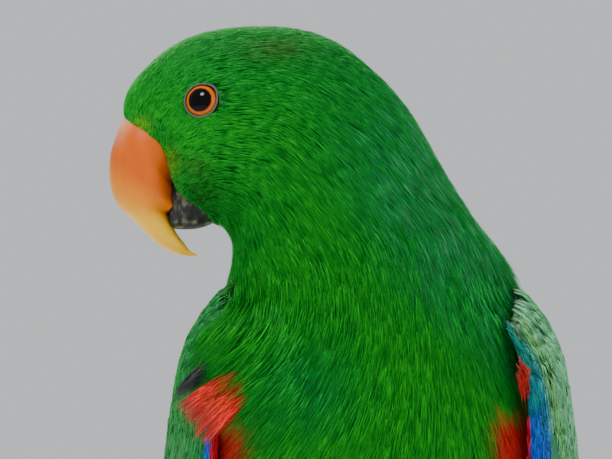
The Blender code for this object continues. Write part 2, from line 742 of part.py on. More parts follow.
def make_perch():
    """A short length of bare branch, a little crooked, drilled below for the rods."""
    rings = []
    for k in range(11):
        share = k / 10
        x = -PERCH_HALF + 2 * PERCH_HALF * share
        ring = []
        for i in range(18):
            turn = 2 * math.pi * i / 18
            swell = 1 - 0.04 * (1 - math.cos(turn * 2 + share * 5)) * abs(2 * share - 1)
            # the branch only loses wood from its mean radius, so that toes keep their gap
            reach = PERCH_RADIUS * swell
            ring.append(
                (
                    x,
                    PERCH_Y + math.cos(turn) * reach,
                    PERCH_TOP - PERCH_RADIUS + math.sin(turn) * reach,
                )
            )
        rings.append(np.array(ring))
    perch = ring_lofted("perch", rings, "bark")
    bottom = PERCH_TOP - 2 * PERCH_RADIUS
    holes = []
    for side in (-1, 1):
        x = side * ROD_X
        path = [(x, PERCH_Y, bottom - 5), (x, PERCH_Y, bottom + HOLE_DEPTH)]
        holes.append(tube("hole", path, (ROD_RADIUS + GAP,) * 2, 16, "bark"))
    apply_boolean(perch, holes, "DIFFERENCE")
    smooth(perch)


def make_stand():
    floor = -CROWN_HEIGHT
    outline = []
    for corner_x, corner_y, first in (
        (1, 1, 0),
        (-1, 1, 90),
        (-1, -1, 180),
        (1, -1, 270),
    ):
        for i in range(7):
            turn = math.radians(first + 15 * i)
            outline.append(
                (
                    corner_x * (BASE_HALF_X - BASE_CORNER) + BASE_CORNER * math.cos(turn),
                    corner_y * (BASE_HALF_Y - BASE_CORNER) + BASE_CORNER * math.sin(turn),
                )
            )
    outline = np.array(outline)
    rings = []
    for inset, z in ((0.6, 0.0), (0.0, 0.6), (0.0, BASE_THICK - 2.5), (2.5, BASE_THICK)):
        scale = 1 - inset / np.array((BASE_HALF_X, BASE_HALF_Y))
        flat = outline * scale
        heights = np.full(len(flat), floor + z)
        rings.append(np.column_stack((flat[:, 0], flat[:, 1] + BIRD_SETBACK, heights)))
    base = ring_lofted("stand_base", rings, "base_wood")
    hole_floor = floor + BASE_THICK - HOLE_DEPTH + 2
    bottom = PERCH_TOP - 2 * PERCH_RADIUS
    holes = []
    for side in (-1, 1):
        x = side * ROD_X
        path = [(x, PERCH_Y, hole_floor), (x, PERCH_Y, floor + BASE_THICK + 5)]
        holes.append(tube("hole", path, (ROD_RADIUS + GAP,) * 2, 16, "base_wood"))
        name = "stand_rod_left" if side > 0 else "stand_rod_right"
        path = [(x, PERCH_Y, hole_floor + GAP), (x, PERCH_Y, bottom + HOLE_DEPTH - GAP)]
        smooth(tube(name, path, (ROD_RADIUS,) * 2, 16, "rod_steel"))
    apply_boolean(base, holes, "DIFFERENCE")
    smooth(base)


clear_scene()
make_head()
make_trunk()
make_wings()
make_tail()
make_leg()
make_foot()
make_perch()
make_stand()
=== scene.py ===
import math
import bpy
import bmesh
import numpy as np
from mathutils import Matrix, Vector, kdtree


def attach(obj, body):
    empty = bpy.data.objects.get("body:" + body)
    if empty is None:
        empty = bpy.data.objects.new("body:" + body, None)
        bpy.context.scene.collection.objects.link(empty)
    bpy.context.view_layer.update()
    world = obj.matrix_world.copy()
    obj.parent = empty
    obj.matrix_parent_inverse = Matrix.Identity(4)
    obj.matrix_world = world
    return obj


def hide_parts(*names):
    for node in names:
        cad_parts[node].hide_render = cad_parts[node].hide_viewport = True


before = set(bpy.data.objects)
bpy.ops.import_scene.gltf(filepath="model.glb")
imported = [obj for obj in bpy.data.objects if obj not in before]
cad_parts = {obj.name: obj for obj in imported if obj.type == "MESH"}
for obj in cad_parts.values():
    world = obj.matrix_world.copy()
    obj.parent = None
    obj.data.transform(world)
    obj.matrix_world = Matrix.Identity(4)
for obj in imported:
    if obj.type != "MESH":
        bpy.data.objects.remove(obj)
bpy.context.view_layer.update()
print("frame loaded")

# Lengths in the tables are millimetres from the crown, with the bird's left as +x and its back as +y.
whole = {"crownHeight": 345.0, "setback": 26.0, "wingShift": 1.0}

# one row per section, from the bill to the tail: turn in degrees, place and height of the back edge and front
# edge, where it is widest, half its width, where its middle plane lies, and how far its sides sweep
bodyRows = (
    (-90, -66.7, -24.6, -42.4, -54.1, 0.50, 12.6, -8.0, 0.4),
    (-90, -65.2, -17.2, -41.3, -54.3, 0.47, 16.0, -8.0, 0.7),
    (-90, -57.0, -8.0, -40.0, -54.9, 0.45, 18.6, -8.0, 0.5),
    (-90, -45.7, -2.0, -39.0, -55.9, 0.45, 20.6, -8.0, 0.2),
    (-90, -29.9, 0.0, -37.9, -57.2, 0.45, 21.8, -8.0, 0.0),
    (-90, -12.7, -2.4, -37.2, -59.1, 0.46, 23.8, -8.0, 0.0),
    (-90, 0.5, -11.1, -37.1, -61.5, 0.47, 25.0, -8.0, 0.0),
    (-88, 11.7, -23.3, -37.4, -64.1, 0.48, 26.2, -7.5, 0.0),
    (-84, 20.6, -38.7, -37.9, -67.3, 0.49, 27.6, -7.0, 0.0),
    (-76, 29.5, -52.4, -39.5, -71.5, 0.50, 30.0, -6.0, 0.0),
    (-58, 37.5, -66.5, -41.5, -82.0, 0.50, 34.5, -4.5, 0.0),
    (-28, 43.5, -83.0, -43.5, -105.0, 0.50, 41.0, -2.0, 0.0),
    (-6, 49.0, -103.5, -43.0, -136.0, 0.50, 46.5, 0.0, 0.0),
    (0, 57.0, -131.0, -35.0, -166.0, 0.50, 45.5, 0.0, 0.0),
    (0, 66.5, -159.0, -17.0, -193.0, 0.50, 41.0, 0.0, 0.0),
    (0, 76.0, -186.0, 10.0, -213.0, 0.50, 34.0, 0.0, 0.0),
    (0, 84.5, -210.0, 46.0, -229.0, 0.50, 23.5, 0.0, 0.0),
    (0, 85.5, -234.0, 72.5, -243.0, 0.50, 11.5, 0.0, 0.0),
)
head = {"turn": -90, "plane": -8.0}


def headSections(rows):
    # rows of the bill's halves, which lie in the turned head's plane and have flat sections
    return [(head["turn"], *row, head["plane"], 0.0) for row in rows]


upperBillRows = headSections((
    (-59.0, -19.0, -47.0, -38.5, 0.45, 9.4),
    (-66.4, -25.6, -52.6, -42.2, 0.45, 10.6),
    (-68.4, -29.6, -52.7, -44.8, 0.44, 10.6),
    (-69.9, -34.2, -52.6, -47.3, 0.42, 10.2),
    (-70.4, -39.6, -52.2, -50.0, 0.40, 9.3),
    (-69.8, -44.8, -53.6, -51.8, 0.40, 8.1),
    (-67.6, -49.6, -53.4, -53.5, 0.42, 6.8),
    (-63.6, -53.4, -52.6, -55.6, 0.45, 5.4),
    (-59.6, -57.5, -51.3, -57.7, 0.50, 4.1),
    (-55.0, -61.0, -49.8, -59.6, 0.50, 2.9),
    (-50.8, -62.6, -48.6, -61.2, 0.50, 1.6),
    (-46.9, -62.9, -46.6, -62.4, 0.50, 0.5),
))
lowerBillRows = headSections((
    (-45.0, -37.0, -39.5, -51.0, 0.50, 6.6),
    (-48.5, -38.6, -41.9, -53.5, 0.50, 8.3),
    (-51.5, -41.0, -43.7, -54.6, 0.50, 8.2),
    (-53.4, -43.6, -46.6, -55.4, 0.50, 7.8),
    (-54.0, -46.4, -49.5, -55.6, 0.50, 7.0),
    (-54.3, -49.4, -52.0, -55.5, 0.50, 6.2),
    (-54.3, -51.9, -53.7, -54.9, 0.50, 4.6),
))

# the folded left wing's lower edge, middle and upper edge, at stations from the bend to the tip
wingStations = (0.0, 0.07, 0.2, 0.4, 0.6, 0.8, 1.0)
wingLower = (
    (36.0, -24.0, -80.0),
    (43.5, -30.0, -92.0),
    (46.5, -29.0, -118.0),
    (45.0, -7.0, -163.0),
    (35.0, 33.0, -207.0),
    (26.0, 71.0, -247.0),
    (13.0, 107.0, -291.0),
)
wingMiddle = (
    (41.0, -8.0, -69.5),
    (51.0, -4.0, -83.0),
    (55.0, 7.0, -108.0),
    (52.5, 30.0, -153.0),
    (41.0, 58.0, -200.0),
    (25.0, 88.0, -246.0),
    (11.5, 111.0, -291.0),
)
wingUpper = (
    (29.0, 13.0, -68.0),
    (33.0, 27.0, -80.0),
    (27.0, 47.0, -101.0),
    (20.0, 65.0, -145.0),
    (13.5, 83.5, -191.0),
    (8.0, 102.0, -241.0),
    (6.5, 113.5, -290.0),
)


def toRow(points):
    # millimetres of the tables as metres of the frame
    return (np.asarray(points, float) + (0.0, -whole["setback"], whole["crownHeight"])) * 0.001


def sameLength(*values):
    return np.broadcast_arrays(*(np.atleast_1d(value).astype(float) for value in values))


def flatGrid(first, second):
    # every pair of a first and a second value, as two flat arrays
    return [grid.ravel() for grid in np.meshgrid(first, second, indexing="ij")]


def fullTurn(count):
    return np.linspace(0, 2 * math.pi, count, endpoint=False)


def between(first, last, share):
    return first + (last - first) * share


def ramp(value, start, end):
    share = np.clip((value - start) / (end - start), 0, 1)
    return share * share * (3 - 2 * share)


def hill(value, start, full, fall, end):
    return ramp(value, start, full) * (1 - ramp(value, fall, end))


def unit(vectors):
    return vectors / np.maximum(np.linalg.norm(vectors, axis=-1, keepdims=True), 1e-9)


def smoothThrough(knots, at):
    # natural cubic through one knot at each whole number
    knots = np.asarray(knots, float)
    count = len(knots)
    matrix = np.eye(count)
    right = np.zeros_like(knots)
    for i in range(1, count - 1):
        matrix[i, i - 1:i + 2] = (1, 4, 1)
        right[i] = 6 * (knots[i + 1] - 2 * knots[i] + knots[i - 1])
    second = np.linalg.solve(matrix, right)
    at = np.atleast_1d(np.asarray(at, float))
    low = np.clip(np.floor(at).astype(int), 0, count - 2)
    after = (at - low)[:, None]
    before = 1 - after
    bend = (before ** 3 - before) * second[low] + (after ** 3 - after) * second[low + 1]
    return before * knots[low] + after * knots[low + 1] + bend / 6


def slopes(surface, a, b, step):
    # how a surface's point moves with each of its two parameters
    first = (surface(a + step, b) - surface(a - step, b)) / (2 * step)
    second = (surface(a, b + step) - surface(a, b - step)) / (2 * step)
    return first, second


def sectionPoint(rows, u, angle):
    # points on a loft: angle runs from the back edge round by the bird's left
    u, angle = sameLength(u, angle)
    row = smoothThrough(rows, np.clip(u, 0, len(rows) - 1))
    turn, backPlace, backHeight, frontPlace, frontHeight, widest, half, plane, sweep = row.T
    turn = np.radians(turn)
    flat = np.zeros_like(turn)
    back = np.stack((-np.sin(turn), np.cos(turn), flat), 1)
    left = np.stack((np.cos(turn), np.sin(turn), flat), 1)
    dorsal = back * backPlace[:, None] + np.stack((flat, plane, backHeight), 1)
    ventral = back * frontPlace[:, None] + np.stack((flat, plane, frontHeight), 1)
    length = np.linalg.norm(dorsal - ventral, axis=1)
    up = (dorsal - ventral) / length[:, None]
    along = np.cross(up, left)
    centre = ventral + (dorsal - ventral) * widest[:, None]
    rise = np.cos(angle)
    side = np.sin(angle)
    reach = np.where(rise > 0, (1 - widest) * length, widest * length)
    point = centre + up * (rise * reach)[:, None] + left * (side * half)[:, None]
    return point + along * (side ** 2 * sweep)[:, None]


# the face's front beside the bill; back and forward: where round the section, how wide and how far
faceFront = {
    "rounding": 2.2, "sharpest": 0.05, "back": (1.18, 0.33, 2.4), "forward": (1.95, 0.36, 2.4), "fade": 1.5,
    "reach": 16.0, "pace": 4.0, "middle": (-54.6, -8.0, -39.4), "way": (-0.772, 0.0, -0.636),
}


def bodyPoint(u, angle):
    # the outline of the body; where u is below 0 the face closes round the bill
    u, angle = sameLength(u, angle)
    point = sectionPoint(bodyRows, u, angle)
    side = np.arccos(np.clip(np.cos(angle), -1, 1))
    rounding = faceFront["sharpest"] + faceFront["rounding"] * np.sin(side) ** 2
    quarter = math.pi / 2
    arc = np.maximum(-u, 0) * faceFront["pace"]
    turn = np.minimum(arc / rounding, quarter)
    inward = rounding * (1 - np.cos(turn)) + np.maximum(arc - rounding * quarter, 0)
    scale = np.clip(1 - inward / (faceFront["reach"] - rounding * (quarter - 1)), 0, 1)
    shift = -rounding
    for sign, (place, wide, far) in ((-1, faceFront["back"]), (1, faceFront["forward"])):
        shift = shift + sign * far * np.exp(-((side - place) / wide) ** 2)
    shift = shift * np.exp(-np.maximum(u, 0) / faceFront["fade"]) + rounding * np.sin(turn)
    middle = np.array(faceFront["middle"])
    closed = middle + (point - middle) * scale[:, None]
    point = np.where((u < 0)[:, None], closed, point)
    return point + np.array(faceFront["way"]) * (shift * scale)[:, None]


def bodyFrame(u, angle):
    # point, direction towards the tail, direction round the body, outward direction
    ahead, around = slopes(bodyPoint, u, angle, 0.02)
    return bodyPoint(u, angle), ahead, around, unit(np.cross(around, ahead))


def wingFlat(s, t):
    at = np.interp(s, wingStations, range(len(wingStations))) + np.minimum(s, 0) / wingStations[1]
    low = smoothThrough(wingLower, at)
    mid = smoothThrough(wingMiddle, at)
    top = smoothThrough(wingUpper, at)
    t = np.asarray(t, float)[:, None]
    return low * (2 * t - 1) * (t - 1) + mid * 4 * t * (1 - t) + top * t * (2 * t - 1)


def wingPoint(s, t, height):
    # over the folded left wing: s from bend to tip, t from lower to upper edge
    s, t, height = sameLength(s, t, height)
    ahead, across = slopes(wingFlat, s, t, 0.01)
    return wingFlat(s, t) + unit(np.cross(ahead, across)) * height[:, None]


wingEdge = {"stations": (0.0, 0.07, 0.5, 0.85), "radii": (2.2, 3.5, 2.6, 0.5)}


def wingWrap(s, t):
    # as the wing's surface, but below 0 t goes round the front edge, and -1 is half a turn
    s, t = sameLength(s, t)
    edge = np.maximum(t, 0)
    ahead, across = slopes(wingFlat, s, edge, 0.01)
    radius = np.interp(s, wingEdge["stations"], wingEdge["radii"])[:, None]
    turn = np.clip(-t, 0, 1)[:, None] * math.pi
    beyond = np.clip(-t - 1, 0, 2)[:, None] * math.pi
    inward = unit(np.cross(ahead, across)) * radius * (1 - np.cos(turn))
    return wingFlat(s, edge) - inward - unit(across) * radius * (np.sin(turn) - beyond)


def wingFrame(s, t):
    # point, direction towards the tip, direction across the wing, outward direction
    ahead, around = slopes(wingWrap, s, t, 0.01)
    return wingWrap(s, t), ahead, around, unit(np.cross(ahead, around))


tail = {
    "root": (0.0, 76.0, -226.0), "slope": 69.0, "length": 106.5, "rootHalf": 11.0, "tipHalf": 21.0,
    "roof": 0.013,
}


def tailPoint(s, t, height):
    # over the tail: s from root to tip, t from -1 at its right edge to 1 at its left
    s, t, height = sameLength(s, t, height)
    slope = math.radians(tail["slope"])
    down = np.array((0.0, math.cos(slope), -math.sin(slope)))
    over = np.array((0.0, math.sin(slope), math.cos(slope)))
    x = t * between(tail["rootHalf"], tail["tipHalf"], s)
    point = np.array(tail["root"]) + down * (s * tail["length"])[:, None]
    point[:, 0] += x
    return point + over * (height - tail["roof"] * x * x)[:, None]


def colour(red, green, blue):
    # a screen colour, 0 to 255, as the linear colour that the shader needs
    values = np.array((red, green, blue), float) / 255
    return np.where(values <= 0.04045, values / 12.92, ((values + 0.055) / 1.055) ** 2.4)


def blendColour(low, high, share):
    share = np.clip(share, 0, 1)[:, None]
    return low * (1 - share) + high * share


def pieceFrom(name, points, faces, tint, bake, vanes=None):
    # a mesh object; faces have equal numbers of corners, and tint and maps a row for each point
    points = np.asarray(points, float)
    corners = np.asarray(faces, int).ravel()
    mesh = bpy.data.meshes.new(name)
    mesh.vertices.add(len(points))
    mesh.vertices.foreach_set("co", points.ravel())
    mesh.loops.add(len(corners))
    mesh.loops.foreach_set("vertex_index", corners)
    mesh.polygons.add(len(faces))
    mesh.polygons.foreach_set("loop_start", np.arange(len(faces)) * len(faces[0]))
    mesh.update(calc_edges=True)
    mesh.shade_smooth()
    for label, places in (("OFBake", bake), ("vaneMap", vanes)):
        if places is not None:
            layer = mesh.uv_layers.new(name=label)
            layer.uv.foreach_set("vector", np.asarray(places, float)[corners].ravel())
    attribute = mesh.color_attributes.new("tint", "FLOAT_COLOR", "POINT")
    opaque = np.ones((len(points), 4))
    opaque[:, :3] = np.clip(tint, 0, 1)
    attribute.data.foreach_set("color", opaque.ravel())
    piece = bpy.data.objects.new(name, mesh)
    bpy.context.scene.collection.objects.link(piece)
    return piece


def gridFaces(rows, columns, closed, ring=False):
    # quads over a grid of points, closed across the columns, and in a ring of rows, when asked
    i, j = flatGrid(np.arange(rows if ring else rows - 1), np.arange(columns if closed else columns - 1))
    k, m = (j + 1) % columns, (i + 1) % rows
    return np.stack((i * columns + j, i * columns + k, m * columns + k, m * columns + j), 1)


def outwards(piece):
    # turns all faces of a closed piece outwards
    work = bmesh.new()
    work.from_mesh(piece.data)
    bmesh.ops.recalc_face_normals(work, faces=work.faces)
    work.to_mesh(piece.data)
    work.free()


def pick(piece):
    bpy.ops.object.select_all(action="DESELECT")
    piece.select_set(True)
    bpy.context.view_layer.objects.active = piece


def closeEnds(piece):
    pick(piece)
    bpy.ops.object.mode_set(mode="EDIT")
    bpy.ops.mesh.select_all(action="DESELECT")
    bpy.ops.mesh.select_non_manifold()
    bpy.ops.mesh.fill_holes(sides=0)
    bpy.ops.object.mode_set(mode="OBJECT")
    outwards(piece)


def joined(name, pieces):
    pick(pieces[0])
    for piece in pieces:
        piece.select_set(True)
    bpy.ops.object.join()
    pieces[0].name = name
    pieces[0].data.name = name
    return pieces[0]


def shaderOf(material):
    return material.node_tree.nodes["Principled BSDF"]


def newMaterial(name, roughness, specular=0.5, metallic=0.0):
    material = bpy.data.materials.new(name)
    material.use_nodes = True
    values = (("Roughness", roughness), ("Specular IOR Level", specular), ("Metallic", metallic))
    for label, value in values:
        shaderOf(material).inputs[label].default_value = value
    return material


def newGroup(name, inputs, outputs):
    group = bpy.data.node_groups.new(name, "ShaderNodeTree")
    for label, kind, value in inputs:
        socket = group.interface.new_socket(name=label, in_out="INPUT", socket_type=kind)
        if value is not None:
            socket.default_value = value
    for label, kind in outputs:
        group.interface.new_socket(name=label, in_out="OUTPUT", socket_type=kind)
    return group, group.nodes.new("NodeGroupInput"), group.nodes.new("NodeGroupOutput")


def mathNode(tree, operation, first, second=None):
    node = tree.nodes.new("ShaderNodeMath")
    node.operation = operation
    for socket, value in zip(node.inputs, (first, second)):
        if value is None:
            continue
        if isinstance(value, (int, float)):
            socket.default_value = value
        else:
            tree.links.new(value, socket)
    return node.outputs[0]


def newNoise(tree, place, scale, detail):
    # scale is a number or a socket
    noise = tree.nodes.new("ShaderNodeTexNoise")
    noise.inputs["Detail"].default_value = detail
    tree.links.new(place, noise.inputs["Vector"])
    if isinstance(scale, float):
        noise.inputs["Scale"].default_value = scale
    else:
        tree.links.new(scale, noise.inputs["Scale"])
    return noise.outputs["Fac"]


def makeBarbGroup():
    # fine slanting barbs on both sides of a shaft, from a map in millimetres
    inputs = (
        ("Map", "NodeSocketVector", None),
        ("Barbs per mm", "NodeSocketFloat", 2.6),
        ("Slant", "NodeSocketFloat", 1.1))
    outputs = (("Shade", "NodeSocketFloat"), ("Height", "NodeSocketFloat"))
    group, start, end = newGroup("featherBarbs", inputs, outputs)
    split = group.nodes.new("ShaderNodeSeparateXYZ")
    group.links.new(start.outputs["Map"], split.inputs[0])
    side = mathNode(group, "ABSOLUTE", split.outputs["X"])
    slant = mathNode(group, "MULTIPLY", side, start.outputs["Slant"])
    slanted = mathNode(group, "SUBTRACT", split.outputs["Y"], slant)
    place = group.nodes.new("ShaderNodeCombineXYZ")
    group.links.new(mathNode(group, "MULTIPLY", slanted, start.outputs["Barbs per mm"]), place.inputs["X"])
    group.links.new(mathNode(group, "MULTIPLY", split.outputs["X"], 0.16), place.inputs["Y"])
    noise = newNoise(group, place.outputs[0], 1.0, 2.0)
    group.links.new(noise, end.inputs["Shade"])
    group.links.new(noise, end.inputs["Height"])
    return group


def makeWoodGroup():
    inputs = (("Place", "NodeSocketVector", None), ("Scale", "NodeSocketFloat", 60.0))
    outputs = (("Grain", "NodeSocketFloat"), ("Blotch", "NodeSocketFloat"))
    group, start, end = newGroup("woodGrain", inputs, outputs)
    fineScale = mathNode(group, "MULTIPLY", start.outputs["Scale"], 6.0)
    group.links.new(newNoise(group, start.outputs["Place"], fineScale, 6.0), end.inputs["Grain"])
    broad = newNoise(group, start.outputs["Place"], start.outputs["Scale"], 3.0)
    group.links.new(broad, end.inputs["Blotch"])
    return group


barbGroup = makeBarbGroup()
woodGroup = makeWoodGroup()


def paint(material, tone, mask, low, high):
    # gives the material this tone, made darker and lighter by a mask
    nodes, links = material.node_tree.nodes, material.node_tree.links
    spread = nodes.new("ShaderNodeMapRange")
    for label, value in (("From Min", 0.3), ("From Max", 0.7), ("To Min", low), ("To Max", high)):
        spread.inputs[label].default_value = value
    links.new(mask, spread.inputs["Value"])
    mix = nodes.new("ShaderNodeMix")
    mix.data_type = "RGBA"
    mix.blend_type = "MULTIPLY"
    mix.inputs["Factor"].default_value = 1.0
    links.new(tone, mix.inputs["A"])
    links.new(spread.outputs["Result"], mix.inputs["B"])
    links.new(mix.outputs["Result"], shaderOf(material).inputs["Base Color"])


def objectPlace(material, stretch):
    where = material.node_tree.nodes.new("ShaderNodeTexCoord")
    mapping = material.node_tree.nodes.new("ShaderNodeMapping")
    mapping.inputs["Scale"].default_value = stretch
    material.node_tree.links.new(where.outputs["Object"], mapping.inputs["Vector"])
    return mapping.outputs["Vector"]


def objectNoise(material, scale, detail=3.0, stretch=(1, 1, 1)):
    return newNoise(material.node_tree, objectPlace(material, stretch), scale, detail)


def stored(material, name, output):
    # a value that the mesh carries at each point
    node = material.node_tree.nodes.new("ShaderNodeAttribute")
    node.attribute_name = name
    return node.outputs[output]


def plainTone(material, linearTone):
    node = material.node_tree.nodes.new("ShaderNodeRGB")
    node.outputs[0].default_value = (*linearTone, 1)
    return node.outputs[0]


def toneRamp(material, mask, stops):
    # the tones of the stops, looked up by a mask
    node = material.node_tree.nodes.new("ShaderNodeValToRGB")
    elements = node.color_ramp.elements
    while len(elements) < len(stops):
        elements.new(0.5)
    for element, (position, tone) in zip(elements, stops):
        element.position = position
        element.color = (*colour(*tone), 1)
    material.node_tree.links.new(mask, node.inputs["Fac"])
    return node.outputs["Color"]


def addBump(material, height, strength, distance):
    bump = material.node_tree.nodes.new("ShaderNodeBump")
    bump.inputs["Strength"].default_value = strength
    bump.inputs["Distance"].default_value = distance
    material.node_tree.links.new(height, bump.inputs["Height"])
    material.node_tree.links.new(bump.outputs["Normal"], shaderOf(material).inputs["Normal"])


# materials whose tone a noise varies; noise: its scale, detail and stretch; bump: its strength and depth
noiseLooks = {
    "plumage": {"roughness": 0.55, "specular": 0.16, "noise": (260.0,), "tones": (0.86, 1.1)},
    "skin": {
        "roughness": 0.75, "specular": 0.3, "noise": (900.0,), "tones": (0.75, 1.1), "bump": (0.4, 0.0002)},
    "billHorn": {
        "roughness": 0.4, "specular": 0.2, "noise": (420.0, 4.0, (1.0, 1.0, 0.25)), "tones": (0.93, 1.04),
        "bump": (0.12, 0.0002)},
    "claw": {
        "roughness": 0.28, "specular": 0.5, "noise": (700.0, 3.0, (1, 1, 0.3)), "tones": (0.6, 1.3),
        "plain": (40, 37, 36)},
}


def tintOf(material):
    # the tone that the mesh carries at each point
    return stored(material, "tint", "Color")


def makeNoiseMaterial(name):
    look = noiseLooks[name]
    material = newMaterial(name, look["roughness"], look["specular"])
    noise = objectNoise(material, *look["noise"])
    tone = plainTone(material, colour(*look["plain"])) if "plain" in look else tintOf(material)
    paint(material, tone, noise, *look["tones"])
    if "bump" in look:
        addBump(material, noise, *look["bump"])
    return material


vaneLook = {"roughness": 0.42, "specular": 0.35, "dark": 0.72, "light": 1.18, "bump": 0.35, "depth": 0.0002}


def makeVaneMaterial():
    material = newMaterial("flightFeather", vaneLook["roughness"], vaneLook["specular"])
    where = material.node_tree.nodes.new("ShaderNodeUVMap")
    where.uv_map = "vaneMap"
    barbs = material.node_tree.nodes.new("ShaderNodeGroup")
    barbs.node_tree = barbGroup
    material.node_tree.links.new(where.outputs["UV"], barbs.inputs["Map"])
    paint(material, tintOf(material), barbs.outputs["Shade"], vaneLook["dark"], vaneLook["light"])
    addBump(material, barbs.outputs["Height"], vaneLook["bump"], vaneLook["depth"])
    return material


coatMaterial = makeNoiseMaterial("plumage")
vaneMaterial = makeVaneMaterial()


# screen colours of the body's feathers, with the pale tone of a painted sheen on the nape
plumage = {
    "face": (0, 168, 36), "crown": (0, 162, 46), "nape": (0, 156, 50), "napeSheen": (100, 214, 146),
    "throat": (0, 174, 28), "breast": (0, 176, 28), "belly": (0, 156, 30), "back": (0, 144, 42),
    "olive": (120, 160, 0), "flank": (246, 46, 36), "flankTip": (252, 84, 70), "flankOlive": (110, 120, 0),
    "lores": (120, 200, 20), "brown": (92, 96, 44), "jowl": (34, 108, 20), "nostril": (40, 30, 16),
    "slate": (58, 66, 62), "breastBlue": (0, 128, 84),
}
linear = {key: colour(*value) for key, value in plumage.items()}

# spots of another tone: name, place and width in x and z, and strength
bodySpots = (
    ("jowl", (-43.5, -45.0), (7.5, 6.5), 0.6), ("brown", (-46.5, -38.0), (3.5, 3.0), 0.3),
    ("olive", (-53.8, -37.5), (2.4, 3.6), 0.9), ("lores", (-61.4, -27.2), (2.4, 2.0), 0.85),
    # the dark spot at the nostril is painted shade in its opening
    ("nostril", (-63.4, -27.4), (1.0, 0.9), 0.8), ("brown", (-25.0, -7.0), (10.0, 3.4), 0.35),
    ("breastBlue", (-18.0, -99.0), (13.0, 11.0), 0.36),
)

# the red flanks: how far below the crown they begin, on the right at a slant, where they end, how far back
# they fade, and how far out from the middle their olive rim and their red begin
flank = {
    "left": 106.0, "right": 97.0, "rightFrom": -49.8, "rightSlope": 0.84, "rightLast": 109.0, "soft": 1.5,
    "end": (165.0, 190.0), "back": (-12.0, -4.0), "rim": (30.0, 33.5), "rimStrength": 0.5, "red": (33.0, 35.5),
}


def flankShare(x, y, z, u):
    slanted = np.minimum(flank["right"] + (x - flank["rightFrom"]) * flank["rightSlope"], flank["rightLast"])
    start = np.where(x > 0, flank["left"], slanted)
    share = hill(-z, start, start + flank["soft"], *flank["end"])
    return share * (1 - ramp(y, *flank["back"])) * (u > 9.0)


def bodyColour(point, u, angle, spots=1.0):
    # point in table millimetres; angle 0 on the back, pi at the breast
    x, y, z = point.T
    dorsal = (1 + np.cos(angle)) / 2
    zones = (
        ("throat", ramp(u, 5.0, 8.0) * (1 - dorsal)),
        ("breast", ramp(u, 8.5, 11.0)),
        ("belly", ramp(u, 12.0, 14.0)),
        ("crown", ramp(dorsal, 0.55, 0.9) * hill(u, 0.5, 2.5, 5.5, 7.0)),
        ("nape", ramp(dorsal, 0.4, 0.75) * ramp(u, 4.6, 7.0)),
        ("back", ramp(dorsal, 0.5, 0.75) * ramp(u, 9.5, 11.5)),
    )
    tone = linear["face"]
    for key, share in zones:
        tone = blendColour(tone, linear[key], share)
    for key, place, wide, share in bodySpots:
        spot = np.exp(-(((x - place[0]) / wide[0]) ** 2 + ((z - place[1]) / wide[1]) ** 2))
        tone = blendColour(tone, linear[key], spot * share * spots)
    red = flankShare(x, y, z, u)
    out = np.abs(x)
    tone = blendColour(tone, linear["flankOlive"], ramp(out, *flank["rim"]) * red * flank["rimStrength"])
    return blendColour(tone, linear["flank"], ramp(out, *flank["red"]) * red)


def coatColour(point, u, angle, chance):
    # the skin's colours with ragged borders between them
    shift = np.stack((chance.normal(0, 1.1, len(u)), np.zeros(len(u)), chance.normal(0, 1.4, len(u))), 1)
    shift = shift * ramp(u, 7.0, 9.5)[:, None]
    return bodyColour(point + shift, u, angle, chance.uniform(0.3, 1.7, len(u)))


# the skin's rings and places round it, how dark it is painted, as shade between the feathers, and how deep
# it lies under the feathers' outline
skin = {
    "closing": (-3.6, 40), "end": 17, "rings": 250, "round": 150, "dark": 0.35,
    "stations": (-4.0, 0.0, 1.5, 4.0, 7.0, 10.0, 17.0), "depths": (0.35, 0.5, 1.0, 1.6, 2.2, 2.8, 2.6),
}
eye = {
    "x": -45.3, "z": -20.8, "radius": 5.6, "apex": 1.0, "lidRadius": 4.5, "lidThick": 0.27, "lidRise": -0.70,
    "rootsClear": 4.5, "strandsShort": 4.4, "strandsClear": 4.15,
}


def skinDepth(u):
    return np.interp(u, skin["stations"], skin["depths"])


def skinPoint(u, angle):
    point, ahead, around, out = bodyFrame(u, angle)
    return point - out * skinDepth(u)[:, None]


def skinBake(u, angle):
    return np.stack(((u + 4) / 21.5, angle / (2 * math.pi) % 1.0), 1)


def onHead(x, z, side):
    # the outline's point and outward direction at this place on one side; side -1 is the bird's left
    u, angle = flatGrid(np.linspace(0.2, 6.5, 240), np.linspace(0.1, math.pi - 0.1, 240))
    angle = angle if side < 0 else 2 * math.pi - angle
    point = bodyPoint(u, angle)
    best = np.argmin((point[:, 0] - x) ** 2 + (point[:, 2] - z) ** 2)
    here, ahead, around, out = bodyFrame(u[best:best + 1], angle[best:best + 1])
    return here[0], out[0]


eyeSpots = {name: onHead(eye["x"], eye["z"], side) for name, side in (("left", -1), ("right", 1))}


def makeSkin():
    first, closingRings = skin["closing"]
    rows = np.concatenate((
        np.linspace(first, 0, closingRings, endpoint=False), np.linspace(0, skin["end"], skin["rings"])))
    u, angle = flatGrid(rows, fullTurn(skin["round"]))
    # the skin is painted dark, as the shade that falls between the feathers
    tint = bodyColour(bodyPoint(u, angle), u, angle) * skin["dark"]
    faces = gridFaces(len(rows), skin["round"], True)
    return pieceFrom("birdSkin", toRow(skinPoint(u, angle)), faces, tint, skinBake(u, angle))


# the bare rim of the eye; drawn: how far it is drawn out, at what turn from behind, and over how much
lid = {
    "tone": (88, 82, 80), "innerTone": (24, 18, 18), "around": 96, "across": 14, "wrinkles": 34, "fold": 0.035,
    "drawn": (0.5, 0.75, 0.5),
}


